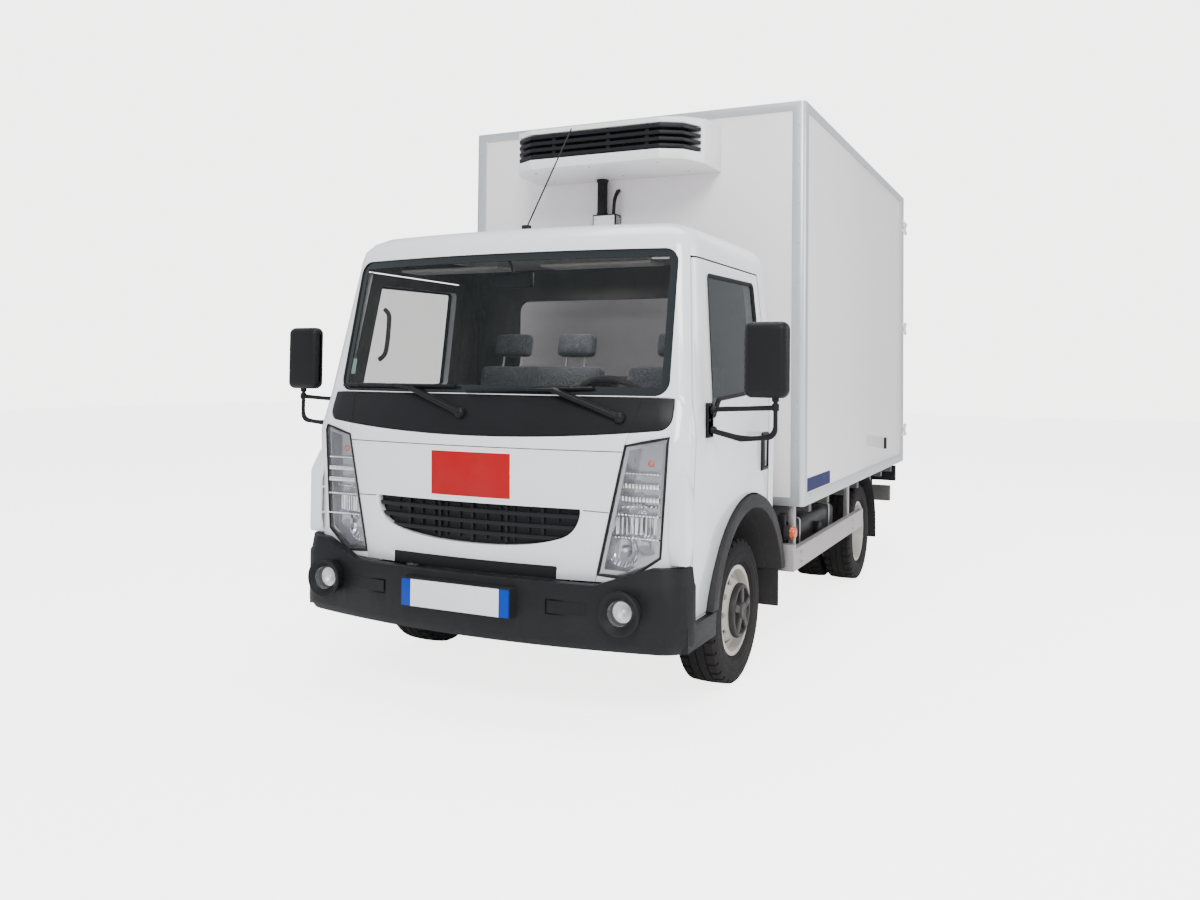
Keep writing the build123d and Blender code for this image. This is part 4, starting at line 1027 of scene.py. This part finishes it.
# %% Cab trim finishes
headliner_cloth = Finish("headliner_cloth", Base_Color=(0.42, 0.41, 0.39), Roughness=0.95)
headliner_cloth = headliner_cloth.bump(headliner_cloth.cells(600), 0.0004).material
belt_webbing = Finish("belt_webbing", Base_Color=(0.03, 0.03, 0.034), Roughness=0.8)
belt_ribs = belt_webbing.node("ShaderNodeMath", {"operation": "SINE"}, {0: belt_webbing.axis(2) * 1800})
belt_webbing = belt_webbing.bump(belt_ribs, 0.0004).material
dial_face = Finish("dial_face", Base_Color=(0.02, 0.02, 0.022), Roughness=0.25, Coat_Weight=0.8).material
seat_cloth = Finish("seat_cloth", Roughness=0.92, Sheen_Weight=0.25)
weave = seat_cloth.cells(420, (1, 1, 1))
fleck = seat_cloth.noise(160, 2, 0.6).step(0.45, 0.62)
seat_cloth.set(Base_Color=seat_cloth.mix(fleck, (0.055, 0.060, 0.068), (0.16, 0.165, 0.175)))
seat_cloth = seat_cloth.bump(weave, 0.0008).material


# %% Dash, cluster and vents
def vent(x, y, z):
    """A round-cornered air vent with slats in a frame."""
    frame_ring = slab((x - 0.055, y - 0.008, z - 0.030), (x + 0.055, y + 0.010, z + 0.030), 0.008, 3)
    edit(frame_ring)
    pick_faces(lambda m, n: n.y > 0.9)
    bpy.ops.mesh.inset(thickness=0.007)
    bpy.ops.mesh.extrude_region_move(TRANSFORM_OT_translate={"value": (0, -0.012, 0)})
    bpy.ops.object.mode_set(mode="OBJECT")
    slats = [slab((x - 0.046, y - 0.002, z + dz - 0.0015), (x + 0.046, y + 0.009, z + dz + 0.0015), 0)
             for dz in (-0.014, -0.005, 0.005, 0.014)]
    return join([frame_ring, *slats])


DASH_FACE = -1.835
VENT_PLACES = ((-0.70, 1.165), (-0.06, 1.150), (0.08, 1.150), (0.735, 1.165))
vents = join([vent(x, DASH_FACE, z) for x, z in VENT_PLACES])
hand_over(vents, "dash_vents", louvre_black, "cab")
hood = turned([(0.0, 0.175), (0.10, 0.165), (0.135, 0.150), (0.130, 0.140), (0.0, 0.150)],
              (0.445, -1.955, 1.190), "Y", 48, close=False)
edit(hood)
bpy.ops.mesh.select_all(action="SELECT")
bpy.ops.mesh.bisect(plane_co=(0, 0, 1.205), plane_no=(0, 0, 1), clear_inner=True)
bpy.ops.object.mode_set(mode="OBJECT")
hand_over(hood, "cluster_hood", dash_black, "cab")
cluster = slab((0.315, -1.905, 1.180), (0.575, -1.893, 1.300), 0.010, 3)
hand_over(cluster, "cluster_face", dial_face, "cab")
radio = slab((-0.085, DASH_FACE - 0.012, 1.045), (0.105, DASH_FACE + 0.004, 1.100), 0.004)
tray = slab((-0.62, -1.955, 1.296), (-0.16, -1.820, 1.308), 0.006, 3)
hand_over(join([radio, tray]), "dash_fittings", dash_black, "cab")

# %% Steering wheel
WHEEL_MIDDLE = Vector((0.445, -1.775, 1.230))
WHEEL_LEAN = math.radians(-50)


def steering_wheel():
    """Round rim, four spokes and a padded boss, leaned on its column."""
    clear()
    bpy.ops.mesh.primitive_torus_add(location=(0, 0, 0), major_radius=0.200, minor_radius=0.0145,
                                     major_segments=72, minor_segments=14)
    rim = bpy.context.object
    boss = slab((-0.075, -0.055, -0.018), (0.075, 0.055, 0.024), 0.020, 5)
    spokes = [slab((0.055, -0.018, -0.008), (0.196, 0.018, 0.006), 0.006, 3),
              slab((-0.196, -0.018, -0.008), (-0.055, 0.018, 0.006), 0.006, 3),
              slab((0.020, -0.192, -0.008), (0.048, -0.040, 0.006), 0.006, 3),
              slab((-0.048, -0.192, -0.008), (-0.020, -0.040, 0.006), 0.006, 3)]
    wheel = join([rim, boss, *spokes])
    only(wheel)
    wheel.rotation_euler = (WHEEL_LEAN, 0, 0)
    wheel.location = WHEEL_MIDDLE
    return wheel


wheel = hand_over(steering_wheel(), "steering_wheel_made", dash_black, "steering_wheel", 45)
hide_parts("steering_wheel")

# %% Headliner, visors, mirror, handle and belts
liner = slab((-0.68, -1.86, 1.965), (0.68, -1.06, 1.975), 0.004)
hand_over(liner, "headliner", headliner_cloth, "cab")
visors = join([slab((x - 0.27, -1.935, 1.872), (x + 0.27, -1.792, 1.886), 0.006, 3) for x in (-0.36, 0.40)])
hand_over(visors, "sun_visors", headliner_cloth, "cab")
cabin_mirror = join([slab((-0.105, -1.962, 1.780), (0.105, -1.938, 1.850), 0.010, 4),
                     pipe([(0, -1.945, 1.845), (0, -1.960, 1.880), (0, -1.985, 1.905)], 0.006, 8)])
hand_over(cabin_mirror, "cabin_mirror", mirror_black, "cab")
grab = pipe([(-0.800, -1.880, 1.460), (-0.775, -1.868, 1.475), (-0.765, -1.862, 1.530),
             (-0.765, -1.850, 1.640), (-0.770, -1.845, 1.690), (-0.797, -1.845, 1.705)], 0.011, 10)
hand_over(join([grab]), "grab_handle", dash_black, "cab", 50)
BELT_PLACES = (0.755, -0.755)
webs = [slab((x - 0.024, -1.085, 0.84), (x + 0.024, -1.0825, 1.72), 0.001) for x in BELT_PLACES]
guides = [slab((x - 0.032, -1.100, 1.70), (x + 0.032, -1.075, 1.76), 0.010, 3) for x in BELT_PLACES]
belts = join(webs + guides)
hand_over(belts, "seat_belts", belt_webbing, "cab")
print("cab inside done")

# %% [markdown]
# ## Seats
# Each cushion and back starts as a slightly small pad. Its sewn lines are pinned and the cover between them
# is blown up by a cloth simulation, so the channels pull in and the middle crowns. The backs lean on a hinge
# line behind the cushions, and each headrest stands on two chrome posts.

# %% Padded pieces
SEAT_TOP_OF_STAND, BACK_HINGE = 0.8203, Vector((0, -1.305, 0.8503))
BACK_LEAN = math.radians(-12)
VOXEL, SWELL_CAP, SEAM_HALF = 0.0085, 0.022, 0.0062


def padded(low, high, seams, round_off=0.030):
    """A pad between two corners, sewn along planes given as (axis, place)."""
    pad = slab(low, high, round_off, 5)
    modify(pad, "REMESH", mode="VOXEL", voxel_size=VOXEL)
    start = [vertex.co.copy() for vertex in pad.data.vertices]
    sewn = pad.vertex_groups.new(name="sewn")
    held = [vertex.index for vertex in pad.data.vertices
            if any(abs(vertex.co[axis] - place) < SEAM_HALF for axis, place in seams)]
    if held:
        sewn.add(held, 1.0, "REPLACE")
    only(pad)
    cloth = pad.modifiers.new("cloth", "CLOTH")
    cloth.settings.use_pressure = True
    cloth.settings.uniform_pressure_force = 4
    cloth.settings.effector_weights.gravity = 0
    cloth.settings.vertex_group_mass = "sewn"
    cloth.point_cache.frame_start, cloth.point_cache.frame_end = 1, 20
    for step in range(1, 21):
        bpy.context.scene.frame_set(step)
    bpy.ops.object.modifier_apply(modifier=cloth.name)
    bpy.context.scene.frame_set(1)
    for vertex, place in zip(pad.data.vertices, start):
        moved = vertex.co - place
        if moved.length > SWELL_CAP:
            vertex.co = place + moved.normalized() * SWELL_CAP
    pad.vertex_groups.clear()
    modify(pad, "SUBSURF", levels=1, render_levels=1)
    return pad


def lean_back(obj):
    """Turn a back from upright at the origin to its lean on the cushion."""
    obj.data.transform(Matrix.Translation(BACK_HINGE) @ Matrix.Rotation(BACK_LEAN, 4, "X"))
    return obj


def cover(obj, name):
    hand_over(obj, name, seat_cloth, "cab", 60)
    return obj


SPARE = 0.018
for seat, x0, x1, heads, splits in (("driver", 0.170, 0.720, (0.445,), (0.275, 0.615)),
                                    ("bench", -0.720, 0.060, (-0.525, -0.135), (-0.330,))):
    cushion = padded((x0 + SPARE, -1.740 + SPARE, SEAT_TOP_OF_STAND + 0.012),
                     (x1 - SPARE, -1.312 - SPARE, SEAT_TOP_OF_STAND + 0.150 - SPARE),
                     [(0, place) for place in splits] + [(1, -1.610), (1, -1.440)])
    cover(cushion, f"{seat}_cushion")
    back = padded((x0 + SPARE, SPARE, 0.020), (x1 - SPARE, 0.120 - SPARE, 0.612),
                  [(0, place) for place in splits] + [(2, 0.250), (2, 0.440)])
    cover(lean_back(back), f"{seat}_back")
    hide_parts("seats")
    posts = []
    for number, middle in enumerate(heads):
        head_pad = padded((middle - 0.108, 0.026, 0.668), (middle + 0.108, 0.096, 0.790), [], 0.026)
        cover(lean_back(head_pad), f"{seat}_headrest_{number}")
        posts += [pipe([(middle + dx, 0.058, 0.600), (middle + dx, 0.060, 0.690)], 0.006, 12, smooth=False)
                  for dx in (-0.055, 0.055)]
    hand_over(lean_back(join(posts)), f"{seat}_headrest_posts", zinc_steel, "cab")
print("seats done")

# %% [markdown]
# ## Behind the grille, seams and small things on the cab
# A honeycomb of six-sided cells stands behind the bars. Black plates behind the grille and the slot under
# the bonnet, and flush black plates over that slot and the bumper's two recesses, are painted shade in
# these openings. Panel seams are thin dark beads sunk into the paint. A recessed oval holds the door
# handle's flap.

# %% Honeycomb and backing
CELL = 0.0105


def bowed_plate(x_half, low, high, behind, thick):
    """A plate that follows the nose at a distance behind it."""
    clear()
    bpy.ops.mesh.primitive_grid_add(x_subdivisions=28, y_subdivisions=4, size=1)
    plate_piece = bpy.context.object
    for vertex in plate_piece.data.vertices:
        x, z = vertex.co.x * 2 * x_half, low + (vertex.co.y + 0.5) * (high - low)
        vertex.co = Vector((x, nose_front(x, z) + behind, z))
    modify(plate_piece, "SOLIDIFY", thickness=thick, offset=0)
    outward(plate_piece)
    return plate_piece


def honeycomb():
    """Rings of six sides in staggered rows, cut to the grille's outline and laid on the nose's bow."""
    clear()
    bpy.ops.mesh.primitive_circle_add(vertices=6, radius=CELL, fill_type="NGON", location=(0, 0, 0))
    cell = bpy.context.object
    edit(cell)
    bpy.ops.mesh.select_all(action="SELECT")
    bpy.ops.mesh.inset(thickness=0.0022)
    bpy.ops.mesh.delete(type="FACE")
    bpy.ops.object.mode_set(mode="OBJECT")
    pitch_x, pitch_z = CELL * math.sqrt(3), CELL * 1.5
    modify(cell, "ARRAY", count=52, use_relative_offset=False, use_constant_offset=True,
           constant_offset_displace=(pitch_x, 0, 0))
    only(cell)
    bpy.ops.object.duplicate()
    other = bpy.context.object
    other.data.transform(Matrix.Translation((pitch_x / 2, pitch_z, 0)))
    mesh_piece = join([cell, other])
    modify(mesh_piece, "ARRAY", count=5, use_relative_offset=False, use_constant_offset=True,
           constant_offset_displace=(0, pitch_z * 2, 0))
    for vertex in mesh_piece.data.vertices:
        x, z = vertex.co.x - 26 * pitch_x, vertex.co.y + GRILLE_LOW - 0.004
        vertex.co = Vector((x, nose_front(x, z) + 0.046, z))
    edit(mesh_piece)
    for side_x in (-1, 1):
        bpy.ops.mesh.select_all(action="SELECT")
        bpy.ops.mesh.bisect(plane_co=(side_x * GRILLE_HALF_LOW, 0, GRILLE_LOW),
                            plane_no=(side_x * 0.14, 0, -0.25), clear_outer=True)
    bpy.ops.mesh.select_all(action="SELECT")
    bpy.ops.mesh.bisect(plane_co=(0, 0, GRILLE_TOP), plane_no=(0, 0, 1), clear_outer=True)
    bpy.ops.object.mode_set(mode="OBJECT")
    modify(mesh_piece, "SOLIDIFY", thickness=0.005, offset=0)
    return mesh_piece


hand_over(honeycomb(), "grille_honeycomb", louvre_black, "cab", 30)
# Dark plates behind the grille and the slot: painted shade in these openings.
shade_backing = join([bowed_plate(0.515, 0.690, 0.872, 0.062, 0.003),
                bowed_plate(0.440, 0.575, 0.645, 0.050, 0.003)])
hand_over(shade_backing, "nose_backing", seal_rubber, "cab", 30)


# %% Seams, slot and recesses
def surface_tree(name):
    data = nodes[name].data
    return BVHTree.FromPolygons([vertex.co for vertex in data.vertices],
                                [tuple(face.vertices) for face in data.polygons])


FRONTS = {name: surface_tree(name) for name in ("front_panel", "cowl", "bumper")}


def on_node(name, x, z):
    """The front surface of a CAD node at a place, or nothing where it is open."""
    place = FRONTS[name].ray_cast(Vector((x, -4, z)), Vector((0, 1, 0)))[0]
    return place and Vector((x, place.y, z))


def seam(name, points, radius=0.0018):
    """A thin dark bead half sunk into a CAD node's front through (x, z) points."""
    places = [on_node(name, x, z) for x, z in points]
    return pipe([place for place in places if place], radius, 6, smooth=False)


def inlay(name, x0, x1, z0, z1, measured_z, lift):
    """A dark plate that follows a node's front, as deep as that front is at another height; laid flush over
    an opening or recess as painted shade.
    """
    clear()
    bpy.ops.mesh.primitive_grid_add(x_subdivisions=20, y_subdivisions=2, size=1)
    plate_piece = bpy.context.object
    for vertex in plate_piece.data.vertices:
        x = x0 + (vertex.co.x + 0.5) * (x1 - x0)
        z = z0 + (vertex.co.y + 0.5) * (z1 - z0)
        vertex.co = Vector((x, on_node(name, x, measured_z).y - lift, z))
    modify(plate_piece, "SOLIDIFY", thickness=0.002, offset=0)
    outward(plate_piece)
    return plate_piece


def spread(x0, x1, z0, z1, count=14):
    """Evenly spaced (x, z) points on a straight line."""
    return [(x0 + (x1 - x0) * step / count, z0 + (z1 - z0) * step / count) for step in range(count + 1)]


seams = [seam("front_panel", spread(-0.672, 0.672, 1.098, 1.098, 28))]
for sign_x in (1, -1):
    seams.append(seam("front_panel", spread(sign_x * 0.512, sign_x * 0.618, 0.862, 0.858)))
    seams.append(seam("cowl", spread(sign_x * 0.690, sign_x * 0.723, 1.172, 1.301)))
hand_over(join(seams), "panel_seams", seal_rubber, "cab", 60)
# Flush black plates over the slot under the bonnet and the bumper's two recesses: painted shade in these
# openings.
shade_inlays = [inlay("front_panel", -0.400, 0.400, 0.5855, 0.6325, 0.655, 0.0004)]
shade_inlays += [inlay("bumper", x0, x0 + 0.160, 0.466, 0.514, 0.545, 0.0006) for x0 in (-0.560, 0.400)]
hand_over(join(shade_inlays), "front_openings", mirror_black, "cab", 30)


# %% Door handle and stickers
def door_handle():
    """An oval bezel round the recess, its floor and the upright flap."""
    bezel = slab((0.917, -1.241, 0.952), (0.9425, -1.134, 1.134), 0.0105, 5)
    edit(bezel)
    pick_faces(lambda m, n: n.x > 0.9)
    bpy.ops.mesh.inset(thickness=0.008)
    bpy.ops.mesh.extrude_region_move(TRANSFORM_OT_translate={"value": (-0.016, 0, 0)})
    bpy.ops.transform.resize(value=(1, 0.9, 0.94))
    bpy.ops.object.mode_set(mode="OBJECT")
    flap = slab((0.921, -1.208, 0.985), (0.9365, -1.178, 1.110), 0.006, 4)
    lock = turned([(0, 0.011), (0.006, 0.011), (0.007, 0.008)], (0.923, -1.165, 0.990), "X", 20)
    return join([bezel, flap, lock])


handle = hand_over(door_handle(), "door_handle_left", mirror_black, "door_left", 45)
other_side(handle, "door_right")
sticker_green = Finish("sticker_green", Base_Color=(0.35, 0.62, 0.45), Roughness=0.5).material
sticker_white = Finish("sticker_white", Base_Color=(0.75, 0.78, 0.80), Roughness=0.5).material
tag_blue = Finish("tag_blue", Base_Color=(0.006, 0.010, 0.07), Roughness=0.5, Specular_IOR_Level=0.1).material


def sticker(x0, x1, z0, z1, name, finish):
    """A thin sheet stuck behind the windscreen."""
    y = [screen_front(x, z) + 0.0135 for x in (x0, x1) for z in (z0, z1)]
    piece = slab((x0, min(y), z0), (x1, min(y) + 0.0006, z1), 0)
    for vertex in piece.data.vertices:
        vertex.co.y += screen_front(vertex.co.x, vertex.co.z) + 0.0135 - min(y)
    return hand_over(piece, name, finish, "cab")


sticker(-0.800, -0.762, 1.392, 1.462, "tax_sticker", sticker_green)
sticker(0.700, 0.772, 1.878, 1.898, "top_sticker", sticker_white)
tag = slab((1.0095, -0.690, 0.796), (1.0110, -0.190, 0.868), 0.0005, 1)
hand_over(tag, "builder_tag_blank", tag_blue, "chassis")
print("cab details done")

# %% [markdown]
# ## Lamps at the side and the back
# Round orange indicators stand on black holders behind the cab. Each tail lamp is a black box with a red,
# an orange and a pale window.

# %% Side indicators, tail lamps and markers
INDICATOR = Vector((0.955, -0.795, 0.600))
lamp_bodies = part_of_node("lamps", lambda m, n: not (
    abs(m.x) > 0.928 and math.hypot(m.y - INDICATOR.y, m.z - INDICATOR.z) < 0.034),
    "lamp_bodies", bumper_black, 0.0015)
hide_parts("lamps")
holder = turned([(-0.029, 0.036), (-0.004, 0.036), (0.001, 0.034), (0.001, 0.030)], INDICATOR, "X", 32)
holder = hand_over(holder, "side_indicator_holder_left", seal_rubber, "chassis", 40)
side_lens = turned([(-0.002, 0.031), (0.016, 0.031), (0.024, 0.028), (0.029, 0.018), (0.030, 0.003)],
                   INDICATOR, "X", 32)
side_lens = hand_over(side_lens, "side_indicator_left", orange_lens, "chassis", 40)
TAIL_BACK = 2.337
tail_windows = []
for kind, finish, x0, x1 in (("stop", red_lens, 0.706, 0.790), ("turn", orange_lens, 0.794, 0.868),
                             ("reverse", bulb_glass, 0.872, 0.934)):
    window = slab((x0, TAIL_BACK - 0.004, 0.567), (x1, TAIL_BACK + 0.007, 0.673), 0.004, 3)
    tail_windows.append(hand_over(window, f"tail_{kind}_left", finish, "chassis", 40))
for piece, slot in [(holder, "black_plastic"), (side_lens, "lens")] + [(w, "lens") for w in tail_windows]:
    other_side(piece, "chassis")
print("lamps done")

# %% Rear door seals and bar grips
LEAF_BACK = 2.307
LEAF_X, LEAF_Z = (0.0035, 0.9990), (0.7815, 2.7845)
SEAL_WIDE = 0.011


def leaf_seal():
    """A rubber strip round the edge of the left rear leaf."""
    y0, y1 = LEAF_BACK - 0.003, LEAF_BACK + 0.0025
    (x0, x1), (z0, z1) = LEAF_X, LEAF_Z
    return join([slab((x0, y0, z0), (x0 + SEAL_WIDE, y1, z1), 0.001, 1),
                 slab((x1 - SEAL_WIDE, y0, z0), (x1, y1, z1), 0.001, 1),
                 slab((x0, y0, z0), (x1, y1, z0 + SEAL_WIDE), 0.001, 1),
                 slab((x0, y0, z1 - SEAL_WIDE), (x1, y1, z1), 0.001, 1)])


leaf_strip = hand_over(leaf_seal(), "rear_door_seal_left", seal_rubber, body_of["rear_door_left"])
grips = join([slab((x + 0.060, 2.318, 1.176), (x + 0.134, 2.336, 1.214), 0.006, 3) for x in (0.250, 0.640)])
grips = hand_over(grips, "bar_grips_left", bumper_black, body_of["rear_door_left"])
for piece in (leaf_strip, grips):
    other_side(piece, body_of["rear_door_right"])

# %% [markdown]
# ## Box hardware and running gear
# Blind rivets hold the profiles, bolts hold the guards, U-bolts clamp the leaf springs and dampers stand
# beside them.

# %% Rivets and bolts
def row(obj, count, step):
    """Copies of a piece in a straight row."""
    modify(obj, "ARRAY", count=count, use_relative_offset=False, use_constant_offset=True,
           constant_offset_displace=step)
    return obj


def rivet(place, axis, outward_sign):
    steps = [(-0.001, 0.0048), (0.0006, 0.0046), (0.0018, 0.0034), (0.0022, 0.0014)]
    return turned([(distance * outward_sign, radius) for distance, radius in steps], place, axis, 10)


rivets = []
for z in (0.775, 2.800):
    rivets.append(row(rivet((1.0140, -0.640, z), "X", 1), 16, (0, 0.180, 0)))
for x in (0.980, -0.980):
    rivets.append(row(rivet((x, -0.770, 0.860), "Y", -1), 10, (0, 0, 0.205)))
rivets.append(row(rivet((-0.90, -0.770, 2.806), "Y", -1), 10, (0.2, 0, 0)))
left_rivets = hand_over(join(rivets[:2]), "rail_rivets_left", zinc_steel, "chassis", 40)
other_side(left_rivets, "chassis")
hand_over(join(rivets[2:]), "front_rivets", zinc_steel, "chassis", 40)


def bolt(place, radius, sign_x):
    """A hexagon head with a washer, facing sideways."""
    steps = [(-0.001, radius * 1.3), (0.002, radius * 1.3), (0.0025, radius), (0.009, radius),
             (0.010, radius * 0.8)]
    return turned([(distance * sign_x, size) for distance, size in steps], place, "X", 12)


guard_bolts = [bolt((0.985, y, z), 0.007, 1) for y in (-0.700, 0.520) for z in (0.440, 0.490)]
guard_bolts = hand_over(join(guard_bolts), "guard_bolts_left", zinc_steel, "chassis", 30)
other_side(guard_bolts, "chassis")
frame_bolts = [bolt((0.400, y, z), 0.009, 1) for y in (-0.80, -0.30, 0.10, 0.42, 1.80, 2.10)
               for z in (0.530, 0.610)]
frame_bolts = hand_over(join(frame_bolts), "frame_bolts_left", zinc_steel, "chassis", 30)
other_side(frame_bolts, "chassis")

# %% Springs, dampers and tank straps
AXLE = Vector((0, 1.116, 0.327))
LEAVES = ((0.555, 0.3935), (0.490, 0.3865), (0.430, 0.3795), (0.395, 0.3665), (0.300, 0.3595))
leaves = [slab((0.4045, AXLE.y - half, z), (0.4555, AXLE.y + half, z + 0.0045), 0.0015) for half, z in LEAVES]
clamps = []
for dy in (-0.070, 0.070):
    clamps.append(pipe([(0.398, AXLE.y + dy, 0.300), (0.398, AXLE.y + dy, 0.405), (0.462, AXLE.y + dy, 0.405),
                        (0.462, AXLE.y + dy, 0.300)], 0.007, 10, smooth=False))
clamps.append(slab((0.385, AXLE.y - 0.090, 0.268), (0.475, AXLE.y + 0.090, 0.280), 0.004))
damper = [pipe([(0.500, 0.985, 0.330), (0.500, 0.870, 0.520)], 0.024, 16, smooth=False),
          pipe([(0.500, 0.880, 0.505), (0.500, 0.835, 0.575)], 0.011, 12, smooth=False)]
gear = join(leaves + clamps + damper)
gear = hand_over(gear, "spring_pack_left", chassis_black, "chassis", 40)
other_side(gear, "chassis")
STRAP_CORNERS = ((0.434, 0.3665), (0.896, 0.3665), (0.9035, 0.376), (0.9035, 0.614),
                 (0.896, 0.6235), (0.434, 0.6235), (0.4265, 0.614), (0.4265, 0.376))
straps = [pipe([(x, y, z) for x, z in STRAP_CORNERS], 0.005, 8, smooth=False, closed=True)
          for y in (-0.440, 0.220)]
hand_over(join(straps), "tank_straps", zinc_steel, "chassis", 50)
cap = turned([(0, 0.040), (0.010, 0.042), (0.030, 0.042), (0.036, 0.036), (0.038, 0.010)],
             (0.898, -0.100, 0.520), "X", 24)
hand_over(cap, "tank_filler_cap", bumper_black, "chassis", 40)
print("running gear done")

# %% [markdown]
# ## Floor and light
# A near-white floor and backdrop, one large soft lamp ahead, a weaker one on the truck's left and one above,
# so that white panels still turn from light to shade round the cab's corners. A small lamp lights the cab.

# %% Stage
clear()
bpy.ops.mesh.primitive_plane_add(size=60, location=(0, 0, 0))
floor = bpy.context.object
floor.name = "floor"
FLOOR_GLOW, SKY_STRENGTH, BACKDROP_STRENGTH = 3.4, 1.0, 4.6
PAPER_WHITE = (0.98, 0.98, 0.965)
floor_finish = Finish("floor_pale", Base_Color=(0.92, 0.92, 0.91), Roughness=0.9, Specular_IOR_Level=0.1)
to_camera = floor_finish.node("ShaderNodeLightPath", {}, {}, out="Is Camera Ray")
floor_finish.set(Emission_Color=floor_finish.mix(to_camera, (0.03, 0.03, 0.03), PAPER_WHITE),
                 Emission_Strength=FLOOR_GLOW)
floor.data.materials.append(floor_finish.material)

world = bpy.data.worlds.new("studio")
bpy.context.scene.world = world
world.use_nodes = True
sky = world.node_tree.nodes["Background"]
sky.inputs["Color"].default_value = (0.92, 0.94, 1.0, 1)
sky.inputs["Strength"].default_value = SKY_STRENGTH
backdrop = world.node_tree.nodes.new("ShaderNodeBackground")
backdrop.inputs["Color"].default_value = (*PAPER_WHITE, 1)
backdrop.inputs["Strength"].default_value = BACKDROP_STRENGTH
seen = world.node_tree.nodes.new("ShaderNodeLightPath")
blend = world.node_tree.nodes.new("ShaderNodeMixShader")
world.node_tree.links.new(seen.outputs["Is Camera Ray"], blend.inputs[0])
world.node_tree.links.new(sky.outputs[0], blend.inputs[1])
world.node_tree.links.new(backdrop.outputs[0], blend.inputs[2])
world.node_tree.links.new(blend.outputs[0], world.node_tree.nodes["World Output"].inputs["Surface"])


def softbox(name, place, target, size, power):
    """A square lamp at a place that faces a target."""
    light = bpy.data.lights.new(name, "AREA")
    light.shape = "SQUARE"
    light.size = size
    light.energy = power
    lamp = bpy.data.objects.new(name, light)
    bpy.context.scene.collection.objects.link(lamp)
    lamp.location = place
    lamp.rotation_euler = (Vector(target) - Vector(place)).to_track_quat("-Z", "Y").to_euler()
    return lamp


softbox("key", (4.0, -9.5, 7.5), (0, -1.5, 1.2), 3.5, 900)
softbox("fill", (8.5, 0.5, 4.0), (0.5, 0.5, 1.2), 4.0, 330)
softbox("top", (0, -1, 9.0), (0, -1, 0), 5.0, 420)
softbox("cabin", (0, -1.42, 1.90), (0, -1.50, 1.0), 0.4, 6).visible_camera = False
